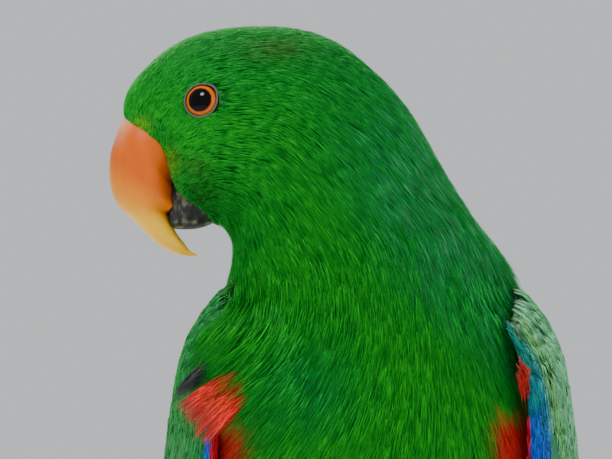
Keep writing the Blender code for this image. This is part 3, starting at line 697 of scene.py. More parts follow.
def makeLid(spot, name):
    # a bare wrinkled rim, a little drawn out behind and above the eye
    place, out = spot
    upward = unit(np.array((0.0, 0.0, 1.0)) - out * out[2])
    across = np.cross(upward, out)
    back = across if across[0] > 0 else -across
    turn, tip = flatGrid(fullTurn(lid["around"]), fullTurn(lid["across"]))
    radial = np.cos(turn)[:, None] * back + np.sin(turn)[:, None] * upward
    far, middle, wide = lid["drawn"]
    apart = np.abs((turn - middle + math.pi) % (2 * math.pi) - math.pi)
    wrinkle = np.sin(turn * lid["wrinkles"])
    away = eye["lidRadius"] + far * np.exp(-(apart / wide) ** 2) + eye["lidThick"] * 1.15 * np.cos(tip)
    high = eye["lidRise"] + (eye["lidThick"] + lid["fold"] * wrinkle * (np.cos(tip) > 0)) * np.sin(tip)
    points = place + radial * away[:, None] + out * high[:, None]
    tint = blendColour(colour(*lid["tone"]), colour(*lid["innerTone"]), ramp(-np.cos(tip), 0.2, 0.9))
    # the wrinkles' crests painted lighter and their furrows darker, as painted light and shade
    tint = tint * (1 + 0.25 * wrinkle * (np.cos(tip) > -0.2))[:, None]
    bake = np.stack((0.02 + 0.02 * turn, 0.985 + 0.001 * tip), 1)
    return pieceFrom(name, toRow(points), gridFaces(lid["around"], lid["across"], True, True), tint, bake)


legs = {
    "x": 19.0, "kneeY": -2.0, "kneeZ": -176.0, "ankleY": 5.0, "ankleAt": 0.7, "ankleAbove": 3.6, "perchY": 3.0,
    "perchTop": -221.0,
}
thigh = {"rings": 24, "round": 32, "end": 0.78, "radiusEnd": 0.76, "radii": (4.0, 10.0, 11.5, 9.5, 6.0, 4.0)}


def legPoint(share, side):
    z = between(legs["kneeZ"], legs["perchTop"] + legs["ankleAbove"], share)
    y = np.interp(share, (0, legs["ankleAt"], 1), (legs["kneeY"], legs["ankleY"], legs["perchY"]))
    return np.stack((side * legs["x"] + np.zeros_like(z), y, z), -1)


def thighRadius(share):
    return np.interp(share, np.linspace(0, thigh["radiusEnd"], len(thigh["radii"])), thigh["radii"])


def makeThigh(side, name):
    share, turn = flatGrid(np.linspace(0, thigh["end"], thigh["rings"]), fullTurn(thigh["round"]))
    radial = np.stack((np.cos(turn), np.sin(turn), 0 * turn), 1)
    points = legPoint(share, side) + thighRadius(share)[:, None] * radial
    # the thighs' skin is painted dark too, as shade under their feathers
    tint = np.tile(linear["belly"] * skin["dark"], (len(points), 1))
    bake = np.tile((0.5, 0.992), (len(points), 1))
    return pieceFrom(name, toRow(points), gridFaces(thigh["rings"], thigh["round"], True), tint, bake)


skinParts = [makeSkin()]
skinParts += [makeLid(eyeSpots["left"], "lidLeft"), makeLid(eyeSpots["right"], "lidRight")]
skinParts += [makeThigh(1, "thighLeft"), makeThigh(-1, "thighRight")]
skinPiece = joined("birdSkin", skinParts)
closeEnds(skinPiece)
skinPiece.data.materials.append(makeNoiseMaterial("skin"))
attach(skinPiece, "root")
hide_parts("head", "neck", "torso", "leg_left", "leg_right")
print("skin made")

# one row per zone of the coat: range along the body and round it, strand lengths, spacing of rows and
# feathers, strands in a feather, strand width, fan in degrees, tone at a strand's root as painted shade,
# streaks, and seed
coatColumns = (
    "from", "to", "sides", "length", "rows", "gap", "strands", "width", "fan", "root", "streak", "seed")
coatZones = {
    "faceFeathers": (-0.9, 2.6, (0, 1), (3.4, 5.6), 1.0, 1.0, 7, 0.18, 5, 0.58, 0.24, 11),
    "crownFeathers": (2.6, 5.0, (0, 1), (5.8, 7.6), 1.4, 1.26, 8, 0.19, 4.5, 0.48, 0.28, 12),
    "napeFeathers": (5.0, 7.4, (0, 1), (7.8, 10.0), 1.8, 1.58, 10, 0.22, 4.5, 0.40, 0.38, 13),
    "neckFeathers": (7.4, 9.6, (0, 1), (10.0, 12.0), 2.2, 1.7, 12, 0.24, 4.5, 0.30, 0.50, 14),
    "breastLeft": (9.6, 11.6, (0.2, 0.5), (12.0, 13.5), 2.4, 1.9, 13, 0.26, 4.5, 0.26, 0.54, 15),
    "breastRight": (9.6, 11.6, (0.5, 0.8), (12.0, 13.5), 2.4, 1.9, 13, 0.26, 4.5, 0.26, 0.54, 16),
    "mantleFeathers": (9.6, 14.0, (-0.2, 0.2), (12.5, 15.0), 3.4, 2.8, 11, 0.42, 9, 0.30, 0.40, 17),
    "bellyFeathers": (11.6, 14.0, (0.2, 0.8), (14.0, 15.0), 3.4, 2.85, 12, 0.38, 8, 0.28, 0.46, 18),
    "ventFeathers": (14.0, 16.95, (0, 1), (14.0, 15.0), 4.2, 3.35, 11, 0.50, 12, 0.32, 0.36, 19),
}

# where feathers stand off over the wings' front and top edges: side (1 left, -1 right, 0 both), millimetres,
# and where that begins, is full, falls and ends, in degrees round the body and in millimetres below the crown
fluff = (
    (-1, 13.0, (22, 50, 60, 78), (80, 91, 104, 116)),
    (-1, 5.5, (22, 50, 60, 78), (104, 116, 150, 195)),
    (1, 4.0, (25, 55, 62, 80), (70, 92, 150, 195)),
    (1, 5.5, (50, 85, 115, 140), (54, 72, 80, 94)),
    (-1, 3.3, (50, 85, 115, 140), (70, 79, 84, 94)),
    (0, 4.0, (125, 148, 158, 174), (70, 95, 150, 200)),
)

# how far the breast feathers lean to the picture's left, in degrees, by the place across the breast; below:
# where under the crown the lean begins, is full, falls and ends; sides: where round the body it fades
breastLean = {
    "across": (-46, -36, -24, -10, 6, 28, 45), "degrees": (60, 50, 38, 26, 13, -4, -14),
    "below": (66, 94, 150, 185), "sides": (85, 110), "from": (7.4, 9.8),
}

# how a coat's strands differ, for each feather and each strand where there are two values; turns in degrees
coatLoose = {
    "fan": 0.16, "spread": 0.45, "taper": 0.16, "turn": (1.6, 1.8), "size": (0.08, 0.14), "rise": 0.82,
    "reach": (0.06, 0.08), "bright": 0.05, "width": 0.14, "fluffed": 0.02, "highlightShare": 0.12, "highlightTone": 1.28,
    "longestStep": 0.75, "buried": 8.0, "end": 17.3,
}
wingLoose = {
    "fan": 0.1, "spread": 0.36, "taper": 0.25, "turn": 2.2, "size": (0.07, 0.06), "rise": 0.55,
    "reach": (0.10, 0.08), "bright": 0.07, "streak": 0.28, "width": 0.1, "longest": 1.25, "frontLimit": 0.045,
}


def facingOf(point):
    # degrees round the body: 0 in front, 90 at the bird's left
    return np.degrees(np.arctan2(point[:, 0], -(point[:, 1] - 3)))


def fluffLift(point):
    # how far the feathers stand off here, so that they lie over the front and top edges of the wings
    facing = facingOf(point)
    lift = np.zeros(len(point))
    for side, far, around, below in fluff:
        turned = facing * side if side else np.abs(facing)
        lift = lift + far * hill(turned, *around) * hill(-point[:, 2], *below)
    return lift


def lieDirection(point, ahead, out, u):
    # along the bird on the head, and downwards with a lean on the body
    lean = np.interp(point[:, 0], breastLean["across"], breastLean["degrees"])
    lean = lean * hill(-point[:, 2], *breastLean["below"])
    lean = np.radians(lean * (1 - ramp(np.abs(facingOf(point)), *breastLean["sides"])))
    down = np.stack((-np.sin(lean), 0 * lean, -np.cos(lean)), 1)
    down = unit(down - out * (down * out).sum(1)[:, None])
    share = ramp(u, *breastLean["from"])[:, None]
    return unit(unit(ahead) * (1 - share) + down * share)


def strandPiece(name, centre, outward, width, tint, home):
    # closed three-sided strands: root, middle and tip
    total = centre.shape[0]
    points = np.zeros((total, 7, 3))
    patch = []
    for k, share in enumerate((0.75, 1.0)):
        direction = unit(centre[:, k + 1] - centre[:, max(k - 1, 0)])
        across = unit(np.cross(direction, outward[:, k])) * (width * share / 2)[:, None]
        points[:, 3 * k] = centre[:, k] - across
        points[:, 3 * k + 1] = centre[:, k] + across
        points[:, 3 * k + 2] = centre[:, k] + outward[:, k] * (width * 0.3)[:, None]
        patch += [(-0.5, k / 2), (0.5, k / 2), (0.0, k / 2)]
    points[:, 6] = centre[:, 2]
    patch.append((0.0, 1.0))
    faces = [(0, 1, 2)]
    for i, j in ((1, 0), (2, 1), (0, 2)):
        faces += [(i, j, 3 + j), (i, 3 + j, 3 + i), (3 + i, 3 + j, 6)]
    bake = home[:, None, :] + np.array(patch)[None] * 0.003
    faces = (np.array(faces)[None] + 7 * np.arange(total)[:, None, None]).reshape(-1, 3)
    tints = np.repeat(tint, (3, 3, 1), axis=1)
    piece = pieceFrom(name, toRow(points.reshape(-1, 3)), faces, tints.reshape(-1, 3), bake.reshape(-1, 2))
    piece.data.materials.append(coatMaterial)
    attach(piece, "root")
    print(name, total, "strands", len(faces), "triangles")
    return piece


def wingCover():
    # places under the folded wings, where body feathers would only be buried
    s, t = flatGrid(np.linspace(0.12, 0.85, 40), np.linspace(0.25, 0.8, 12))
    left = wingPoint(s, t, -3.0)
    points = np.concatenate([left * (side, 1, 1) + (whole["wingShift"], 0, 0) for side in (1, -1)])
    tree = kdtree.KDTree(len(points))
    for i, point in enumerate(points):
        tree.insert(Vector(point), i)
    tree.balance()
    return tree


coverTree = wingCover()


def featherRoots(frameOf, zone, sides, chance):
    # rows of roots from front to back, spaced evenly across each row
    samples = 361
    across = np.linspace(*sides, samples)
    roots = []
    a = zone["from"]
    while a < zone["to"]:
        point, ahead, around, out = frameOf(np.full(samples, a), across)
        speed = np.linalg.norm(ahead, axis=1)
        arc = np.concatenate(((0,), np.cumsum(np.linalg.norm(np.diff(point, axis=0), axis=1))))
        count = max(6, int(arc[-1] / zone["gap"]))
        spots = np.arange(count) + 0.5 * (len(roots) % 2) + chance.uniform(-0.35, 0.35, count)
        where = np.interp(spots * arc[-1] / count % arc[-1], arc, across)
        keep = chance.random(count) < np.maximum(np.interp(where, across, speed) / speed.max(), 0.3)
        step = zone["rows"] / speed.max()
        roots.append(np.stack((a + step * chance.uniform(-0.5, 0.5, count), where), 1)[keep])
        a += step
    return np.concatenate(roots)


def openFeathers(roots, zone, loose, chance):
    # for each strand: its place across its feather, and which feather that is
    count, strands = len(roots), zone["strands"]
    fan = np.linspace(-1, 1, strands)[None, :] + chance.normal(0, loose["fan"], (count, strands))
    return fan.ravel(), np.repeat(np.arange(count), strands)


def strandSizes(roots, fan, owner, zone, loose, chance):
    perFeather, perStrand = loose["size"]
    share = (roots[:, 0] - zone["from"]) / (zone["to"] - zone["from"])
    length = between(*zone["length"], share) * np.exp(chance.normal(0, perFeather, len(roots)))
    return length[owner] * (1 - loose["taper"] * fan ** 2) * np.exp(chance.normal(0, perStrand, len(fan)))


def scatter(spreads, owner, count, chance):
    # a change for each feather and one for each of its strands
    perFeather, perStrand = spreads
    return chance.normal(0, perFeather, count)[owner] + chance.normal(0, perStrand, len(owner))


def strandBright(owner, count, perFeather, perStrand, chance):
    # feathers are lighter or darker, and strands in them darker
    feather = np.exp(chance.normal(0, perFeather, count))
    return feather[owner] * np.exp(-np.abs(chance.normal(0, perStrand, len(owner))))


def inFrame(vector, ahead, around):
    # a direction on a surface as steps of its two parameters
    aa, ab, bb = (ahead * ahead).sum(1), (ahead * around).sum(1), (around * around).sum(1)
    va, vb = (vector * ahead).sum(1), (vector * around).sum(1)
    det = np.maximum(aa * bb - ab * ab, 1e-6)
    return (va * bb - vb * ab) / det, (vb * aa - va * ab) / det


def clearOfEyes(points):
    return np.minimum(*(np.linalg.norm(points - place, axis=-1) for place, out in eyeSpots.values()))


def walk(u, angle, turn, size):
    # the middle and the tip of a strand that follows the lie of the feathers
    places = []
    for half in range(2):
        point, ahead, around, out = bodyFrame(u, angle)
        tangent = lieDirection(point, ahead, out, u)
        way = tangent * np.cos(turn)[:, None] + np.cross(out, tangent) * np.sin(turn)[:, None]
        stepU, stepAngle = inFrame(way, ahead, around)
        u, angle = np.minimum(u + stepU * size * 0.5, coatLoose["end"]), angle + stepAngle * size * 0.5
        places.append((u, angle))
    return places


def walkClearOfEyes(u, angle, turn, size):
    return np.minimum(*(clearOfEyes(bodyPoint(*place)) for place in walk(u, angle, turn, size)))


def coatRoots(zone, chance):
    # the feathers' roots, but none on the eyes' bare rims and none buried under the wings
    sides = [2 * math.pi * side for side in zone["sides"]]
    roots = featherRoots(bodyFrame, zone, sides, chance)
    keep = clearOfEyes(bodyPoint(*roots.T)) > eye["rootsClear"]
    if zone["to"] > 10:
        away = [coverTree.find(Vector(point))[2] for point in skinPoint(*roots.T)]
        keep &= np.array(away) > coatLoose["buried"]
    return roots[keep]


def coatLines(places, reach, loose):
    # the strands' centre lines and outward directions: rooted below the skin, and standing off where loose
    centre, outward = [], []
    for (u, angle), root, rise, off in zip(places, (-0.25, 0, 0), (0, 0.74, 1.0), (0, 0.66, 1.0)):
        point, ahead, around, out = bodyFrame(u, angle)
        depth = skinDepth(u)
        lift = root + depth * reach * rise - depth
        centre.append(point + out * lift[:, None] + unit(out * (1, 1, 0)) * (loose * off)[:, None])
        outward.append(out)
    return np.stack(centre, 1), np.stack(outward, 1)


def coatTint(centre, u, angle, owner, count, zone, chance):
    # the tones of each strand's root, middle and tip, with a painted pale sheen on some feathers of the nape
    total = len(u)
    tone = coatColour((centre[:, 1] + centre[:, 2]) / 2, u, angle, chance)
    bright = strandBright(owner, count, coatLoose["bright"], zone["streak"], chance)
    # some strands made lighter at random, as painted highlights
    bright = bright * np.where(chance.random(total) < coatLoose["highlightShare"], coatLoose["highlightTone"], 1.0)
    dorsal = (1 + np.cos(angle)) / 2
    sheen = ramp(dorsal, 0.45, 0.85) * hill(u, 5.2, 7.4, 11.5, 13.0) * (chance.random(count)[owner] > 0.5)
    paleSheen = linear["napeSheen"] * bright[:, None] * 0.9
    # strands darker towards the root, as painted shade where the feathers overlap
    levels = ((zone["root"], 0), (0.86, 0.12), (1.0, 0.85))
    tints = [blendColour(tone * (bright * level)[:, None], paleSheen, sheen * edge) for level, edge in levels]
    return np.stack(tints, 1)


def coatStrands(roots, zone, chance):
    # the strands that lie well: where their roots, middles and tips are on the body, and their feathers
    fan, owner = openFeathers(roots, zone, coatLoose, chance)
    u, angle = roots[owner].T
    point, ahead, around, out = bodyFrame(u, angle)
    shiftU, shiftAngle = inFrame(np.cross(out, lieDirection(point, ahead, out, u)), ahead, around)
    aside = fan * zone["gap"] * coatLoose["spread"]
    u, angle = u + shiftU * aside, angle + shiftAngle * aside
    turn = np.radians(zone["fan"] * fan + scatter(coatLoose["turn"], owner, len(roots), chance))
    size = strandSizes(roots, fan, owner, zone, coatLoose, chance)
    size = size * (1 + coatLoose["fluffed"] * fluffLift(point))
    if zone["to"] < 6:
        for factor in (0.6, 0.5):
            size = np.where(walkClearOfEyes(u, angle, turn, size) < eye["strandsShort"], size * factor, size)
        keep = walkClearOfEyes(u, angle, turn, size) > eye["strandsClear"]
        u, angle, turn, size, owner = (values[keep] for values in (u, angle, turn, size, owner))
    places = [(u, angle)] + walk(u, angle, turn, size)
    root, middle, tip = (bodyPoint(*place) for place in places)
    longest = np.maximum(np.linalg.norm(middle - root, axis=1), np.linalg.norm(tip - middle, axis=1))
    keep = longest < size * coatLoose["longestStep"]
    return [(a[keep], b[keep]) for a, b in places], owner[keep]


def makeCoat(name, zone):
    chance = np.random.default_rng(zone["seed"])
    roots = coatRoots(zone, chance)
    places, owner = coatStrands(roots, zone, chance)
    count, total = len(roots), len(owner)
    loose = fluffLift(bodyPoint(*places[2])) * (0.72 + 0.28 * chance.random(total))
    reach = coatLoose["rise"] + scatter(coatLoose["reach"], owner, count, chance)
    centre, outward = coatLines(places, np.clip(reach, 0.4, 1.03), loose)
    tint = coatTint(centre, *places[0], owner, count, zone, chance)
    width = zone["width"] * np.exp(chance.normal(0, coatLoose["width"], total))
    strandPiece(name, centre, outward, width, tint, skinBake(*places[0]))


for zoneName, zoneRow in coatZones.items():
    makeCoat(zoneName, dict(zip(coatColumns, zoneRow)))

# the short feathers on the thighs: from and to are shares of the way from knee to perch
thighCoat = {
    "from": 0.08, "to": 0.66, "length": 7.0, "width": 0.4, "count": 1400, "lifts": (-0.9, 0.5, 0.9),
    "streak": 0.42, "end": 0.77, "seed": 51,
}


def makeThighCoat(name, side):
    chance = np.random.default_rng(thighCoat["seed"] + side)
    total = thighCoat["count"]
    share = chance.uniform(thighCoat["from"], thighCoat["to"], total)
    turn = chance.uniform(0, 2 * math.pi, total)
    radial = np.stack((np.cos(turn), np.sin(turn), 0 * turn), 1)
    size = thighCoat["length"] * chance.uniform(0.8, 1.1, total) * (1 - 0.5 * ramp(share, 0.45, 0.66))
    step = size / (legs["kneeZ"] - legs["perchTop"])
    centre = []
    for along, lift in zip((0.0, 0.5, 1.0), thighCoat["lifts"]):
        reach = np.minimum(share + step * along, thighCoat["end"])
        level = thighRadius(reach) + lift * (1 - 0.5 * ramp(reach, 0.6, 0.77))
        centre.append(legPoint(reach, side) + radial * level[:, None])
    tone = linear["belly"] * np.exp(-np.abs(chance.normal(0, thighCoat["streak"], total)))[:, None]
    # strands darker towards the root, as painted shade where they overlap
    tint = np.stack([tone * level for level in (0.3, 0.85, 1.1)], 1)
    home = np.stack((0.5 + 0.2 * side + turn / 40, 0.985 + share * 0.01), 1)
    outward = np.repeat(radial[:, None, :], 3, 1)
    width = np.full(total, thighCoat["width"])
    strandPiece(name, np.stack(centre, 1), outward, width, tint, home)


makeThighCoat("thighFeathersLeft", 1)
makeThighCoat("thighFeathersRight", -1)

# loose feathers that lie over the wings' front edges: x and z of the first and last tip, slope below level
# and length at both, how far back the tips are layered, and x and y of the surface that they lie on
tufts = {
    "flankTuftRight": {
        "tips": ((-52.4, -103.0), (-44.6, -114.2)), "slope": (30, 48), "length": (17.0, 16.0), "layers": 8.0,
        "front": ((-54, -50, -46, -42, -38, -34), (-21.5, -26.5, -31.0, -33.6, -36.4, -37.8)),
        "clumps": 12, "count": 520, "width": 0.3, "tone": "flank", "tipTone": "flankTip",
        "dark": 1.0, "seed": 61},
    "flankTuftDark": {
        "tips": ((-51.2, -98.2), (-52.5, -102.0)), "slope": (42, 38), "length": (8.5, 9.0), "layers": 2.0,
        "front": ((-54, -50, -46, -42, -38, -34), (-20.8, -25.4, -29.8, -32.0, -34.0, -35.0)),
        "clumps": 4, "count": 70, "width": 0.34, "tone": "slate", "tipTone": "slate",
        "dark": 1.0, "seed": 63},
    "flankTuftLeft": {
        "tips": ((43.2, -96.5), (41.4, -102.0)), "slope": (66, 76), "length": (6.0, 6.0), "layers": 2.0,
        "front": ((36, 40, 44, 48), (-29.0, -32.0, -31.5, -28.0)),
        "clumps": 5, "count": 90, "width": 0.34, "tone": "flank", "tipTone": "flank",
        "dark": 0.42, "seed": 62},
}


def tuftLines(look, spread, nearest, side, chance):
    # the strands' centre lines, how far along the tuft they are, and how far back their tips lie
    total = look["count"]
    clump = nearest / look["clumps"]
    share = clump + (spread - clump) * 0.22
    slope = np.radians(np.interp(clump, (0, 1), look["slope"]) + chance.normal(0, 1.2, total))
    back = look["layers"] * chance.random(total) ** 1.6
    way = np.stack((side * np.cos(slope), 0 * slope, -np.sin(slope)), 1)
    upward = np.stack((side * np.sin(slope), 0 * slope, np.cos(slope)), 1)
    first, last = (np.array((x, 0, z)) for x, z in look["tips"])
    tip = between(first, last, share[:, None]) - way * back[:, None] + chance.normal(0, 0.35, (total, 3))
    ragged = chance.normal(0, 0.6, look["clumps"] + 1)[nearest]
    tip = tip + way * np.clip(ragged + chance.normal(0, 0.5, total), -2.0, 0.9)[:, None]
    size = (np.interp(share, (0, 1), look["length"]) - back) * chance.uniform(0.75, 1.2, total)
    apart = (last - first) * (spread - share)[:, None]
    bow = upward * chance.normal(0.35, 0.25, total)[:, None]
    root = tip - way * size[:, None] + apart
    middle = tip - way * (size * 0.5)[:, None] + bow + apart * 0.6
    centre = np.stack((root, middle, tip), 1)
    for k, depth in enumerate((chance.uniform(-0.9, 1.6, total), -0.9, -0.6)):
        centre[:, k, 1] = np.interp(centre[:, k, 0], *look["front"]) + depth
    centre[:, :, 1] -= chance.random(total)[:, None] * (0.2, 0.8, 1.0)
    return centre, share, back


def makeTuft(name, look):
    chance = np.random.default_rng(look["seed"])
    total = look["count"]
    spread = chance.random(total)
    nearest = np.round(spread * look["clumps"]).astype(int)
    side = 1 if look["tips"][0][0] > 0 else -1
    centre, share, back = tuftLines(look, spread, nearest, side, chance)
    outward = np.tile(unit(np.array((side * 0.3, -1.0, 0.1))), (total, 3, 1))
    bright = 0.1 + chance.normal(0, 0.12, look["clumps"] + 1)[nearest] - np.abs(chance.normal(0, 0.55, total))
    bright = look["dark"] * np.exp(bright)[:, None]
    tone = linear[look["tone"]]
    # strands darker at the root, as painted shade where they overlap
    tint = np.stack((tone * bright * 0.6, tone * bright, linear[look["tipTone"]] * bright), 1)
    home = np.stack((0.70 + 0.03 * share, 0.5 - side * 0.12 + 0.02 * back / 6), 1)
    width = look["width"] * np.exp(chance.normal(0, 0.12, total))
    strandPiece(name, centre, outward, width, tint, home)


for tuftName, tuftValues in tufts.items():
    makeTuft(tuftName, tuftValues)

# soft feathers over the bend of each wing, and hair-like ones along its front edge, in the coat's columns
wingCoats = {
    "bend": (0.0, 0.27, (-0.98, 1.0), (8.0, 11.0), 2.9, 2.3, 9, 0.40, 9),
    "edge": (0.27, 0.74, (-0.98, 0.14), (10.0, 12.0), 3.4, 2.0, 8, 0.44, 5),
}
wingCoatTones = {
    "outer": (10, 146, 50), "mintSheen": (146, 228, 176), "border": (120, 190, 40), "teal": (0, 140, 120),
    "blue": (0, 70, 215), "lining": (205, 18, 44),
}
wingCoatLinear = {key: colour(*value) for key, value in wingCoatTones.items()}

# how the wings differ: share of painted mint sheen, which is strong on the lit left wing, where across the
# wing the blue of the front edge ends and the red lining begins, how much narrower the blue of the vanes is,
# and seeds
wingSides = {
    "Left": {
        "flip": 1, "mintSheen": 0.9, "blueEnd": (0.02, 0.09), "lining": (0.50, 0.62), "inward": 0.0,
        "coatSeed": 45, "vaneSeed": 21},
    "Right": {
        "flip": -1, "mintSheen": 0.14, "blueEnd": (-0.14, -0.04), "lining": (0.26, 0.34), "inward": 0.12,
        "coatSeed": 40, "vaneSeed": 22},
}


def wingCoatColour(s, t, wing, chance):
    tones = wingCoatLinear
    t = t + chance.normal(0, 0.02, len(t))
    # a painted mint sheen, strongest towards the wing's lower edge
    paleSheen = wing["mintSheen"] * (0.45 + 0.5 * chance.random(len(t))) * (1 - 0.85 * ramp(t, 0.25, 0.55))
    tone = blendColour(tones["outer"], tones["mintSheen"], paleSheen)
    tone = blendColour(tone, tones["border"], hill(t, 0.06, 0.09, 0.11, 0.15) * 0.6 * wing["mintSheen"])
    cool = blendColour(tones["teal"], tones["blue"], ramp(s + chance.normal(0, 0.04, len(t)), 0.05, 0.2))
    tone = blendColour(tone, cool, 1 - ramp(t, *wing["blueEnd"]))
    return blendColour(tone, tones["lining"], ramp(-t, *wing["lining"]) * ramp(s, 0.04, 0.10))


def wingSink(s):
    # how far the soft feathers at the bend lie below the surface of the vanes behind them
    fade = 1 - ramp(s, 0.12, 0.27)
    return 2.3 * fade - 0.3 * ramp(s, 0.0, 0.1) * fade


def wingStrands(roots, zone, chance):
    # the strands that lie well: their roots, their feathers, and the surface at their roots, middles and tips
    fan, owner = openFeathers(roots, zone, wingLoose, chance)
    s, t = roots[owner].T
    point, ahead, around, out = wingFrame(s, t)
    tangent = unit(ahead)
    sideways = np.cross(tangent, out)
    turn = np.radians(zone["fan"] * fan + chance.normal(0, wingLoose["turn"], len(roots))[owner])[:, None]
    size = strandSizes(roots, fan, owner, zone, wingLoose, chance)
    stepS, stepT = inFrame(tangent * np.cos(turn) - sideways * np.sin(turn), ahead, around)
    shiftS, shiftT = inFrame(-sideways, ahead, around)
    aside = fan * zone["gap"] * wingLoose["spread"]
    s, t = s + shiftS * aside, t + shiftT * aside
    # strands that start round the front edge stay there
    limit = np.where(t < 0, wingLoose["frontLimit"], np.inf)
    frames = []
    for along in (0, 0.4, 1):
        frames.append(wingFrame(s + stepS * size * along, np.minimum(t + stepT * size * along, limit)))
    keep = np.linalg.norm(frames[2][0] - frames[0][0], axis=1) < size * wingLoose["longest"]
    return s[keep], t[keep], owner[keep], [[values[keep] for values in surface] for surface in frames]


def makeWingCoat(name, zone, wing, seed):
    chance = np.random.default_rng(seed)
    roots = featherRoots(wingFrame, zone, zone["sides"], chance)
    s, t, owner, frames = wingStrands(roots, zone, chance)
    count = len(roots)
    tipLift = wingLoose["rise"] + scatter(wingLoose["reach"], owner, count, chance) - wingSink(s)
    outward = np.stack([surface[3] for surface in frames], 1)
    lift = np.stack((tipLift - 1.6, tipLift - 0.12, tipLift), 1)
    centre = np.stack([surface[0] for surface in frames], 1) + outward * lift[:, :, None]
    tone = wingCoatColour(s, t, wing, chance)
    bright = strandBright(owner, count, wingLoose["bright"], wingLoose["streak"], chance)
    # strands darker towards the root, as painted shade where they overlap
    tint = np.stack([tone * (bright * level)[:, None] for level in (0.3, 0.9, 1.15)], 1)
    home = np.stack(((s + 0.1) / 1.2, (t + 1.1) / 2.3), 1)
    mirror = (wing["flip"], 1, 1)
    centre = centre * mirror + (whole["wingShift"], 0, 0)
    width = zone["width"] * np.exp(chance.normal(0, wingLoose["width"], len(owner)))
    piece = strandPiece(name, centre, outward * mirror, width, tint, home)
    if wing["flip"] < 0:
        outwards(piece)


for sideName, wing in wingSides.items():
    for k, (coatName, coatRow) in enumerate(wingCoats.items()):
        makeWingCoat(coatName + sideName, dict(zip(coatColumns, coatRow)), wing, wing["coatSeed"] + k)
print("coat made")

# screen colours of the bill, where the pale root tone is a painted highlight on the top of its root, and the
# tooth and the notch of its cutting edge: place along, width and depth
bill = {
    "root": (214, 150, 108), "side": (200, 87, 0), "low": (218, 124, 0), "tip": (240, 184, 24),
    "edge": (224, 158, 28), "tooth": (4.0, 0.3, 0.9), "notch": (4.85, 0.4, -0.9), "toothWay": (0.9, 0.0, -0.4),
    "black": (30, 29, 30),
}


def billGrid(rows, rings, around):
    # places along and round half of the bill, their points, faces and places on the bake map
    u, angle = flatGrid(np.linspace(0.2, len(rows) - 1, rings), fullTurn(around))
    bake = np.stack((u / len(rows), angle / (2 * math.pi)), 1)
    return u, angle, sectionPoint(rows, u, angle), gridFaces(rings, around, True), bake


def makeUpperBill():
    u, angle, points, faces, bake = billGrid(upperBillRows, 120, 72)
    cutting = (bill["tooth"], bill["notch"])
    tooth = sum(far * np.exp(-((u - place) / wide) ** 2) for place, wide, far in cutting)
    points = points + np.array(bill["toothWay"]) * (tooth * ramp(-np.cos(angle), 0.2, 0.9))[:, None]
    dorsal = (1 + np.cos(angle)) / 2
    tint = blendColour(colour(*bill["side"]), colour(*bill["low"]), ramp(u, 3.0, 5.0))
    tint = blendColour(tint, colour(*bill["tip"]), ramp(u, 4.6, 6.8))
    # a painted highlight, pale peach, on the top of the bill's root
    tint = blendColour(tint, colour(*bill["root"]), ramp(dorsal, 0.80, 1.0) * (1 - ramp(u, 1.0, 3.0)))
    tint = blendColour(tint, colour(*bill["edge"]), ramp(dorsal, 0.93, 1.0) * ramp(u, 3.0, 5.0) * 0.6)
    return pieceFrom("upperBill", toRow(points), faces, tint, bake)


def makeLowerBill():
    u, angle, points, faces, bake = billGrid(lowerBillRows, 90, 90)
    tint = np.tile(colour(*bill["black"]), (len(points), 1))
    return pieceFrom("lowerBill", toRow(points), faces, tint, bake)


def makeFlakyHorn():
    # worn black horn with pale flakes
    material = newMaterial("blackHorn", 0.62, 0.3)
    flakes = objectNoise(material, 620.0, 6.0, (1.0, 1.0, 0.6))
    mask = mathNode(material.node_tree, "MULTIPLY", flakes, objectNoise(material, 230.0, 2.0))
    stops = ((0.19, (22, 22, 23)), (0.27, (44, 45, 38)), (0.37, (108, 108, 88)))
    tone = toneRamp(material, mask, stops)
    material.node_tree.links.new(tone, shaderOf(material).inputs["Base Color"])
    addBump(material, flakes, 0.6, 0.0004)
    return material


upperBill = makeUpperBill()
closeEnds(upperBill)
upperBill.data.materials.append(makeNoiseMaterial("billHorn"))
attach(upperBill, "root")
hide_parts("upper_bill")

lowerBill = makeLowerBill()
closeEnds(lowerBill)
lowerBill.data.materials.append(makeFlakyHorn())
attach(lowerBill, "root")
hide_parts("lower_bill")
print("bill made")


# the eye's colours from its axis outwards, in shares of its radius
eyeLook = {
    "stops": (
        (0.0, (3, 2, 2)), (0.55, (3, 2, 2)), (0.57, (96, 30, 0)), (0.61, (184, 92, 0)), (0.715, (184, 92, 0)),
        (0.76, (96, 30, 0)), (0.80, (40, 20, 14))),
    "wander": 0.25, "roughness": 0.1, "specular": 0.08, "coat": 0.1, "coatRoughness": 0.02,
}


def makeEyeMaterial():
    material = newMaterial("eye", eyeLook["roughness"], eyeLook["specular"])
    tree = material.node_tree
    noise = mathNode(tree, "SUBTRACT", objectNoise(material, 1800.0, 2.0), 0.5)
    wander = mathNode(tree, "MULTIPLY", noise, eyeLook["wander"])
    radius = mathNode(tree, "ADD", stored(material, "fromAxis", "Fac"), wander)
    tone = toneRamp(material, mathNode(tree, "DIVIDE", radius, eye["radius"]), eyeLook["stops"])
    tree.links.new(tone, shaderOf(material).inputs["Base Color"])
    shaderOf(material).inputs["Coat Weight"].default_value = eyeLook["coat"]
    shaderOf(material).inputs["Coat Roughness"].default_value = eyeLook["coatRoughness"]
    return material


eyeMaterial = makeEyeMaterial()


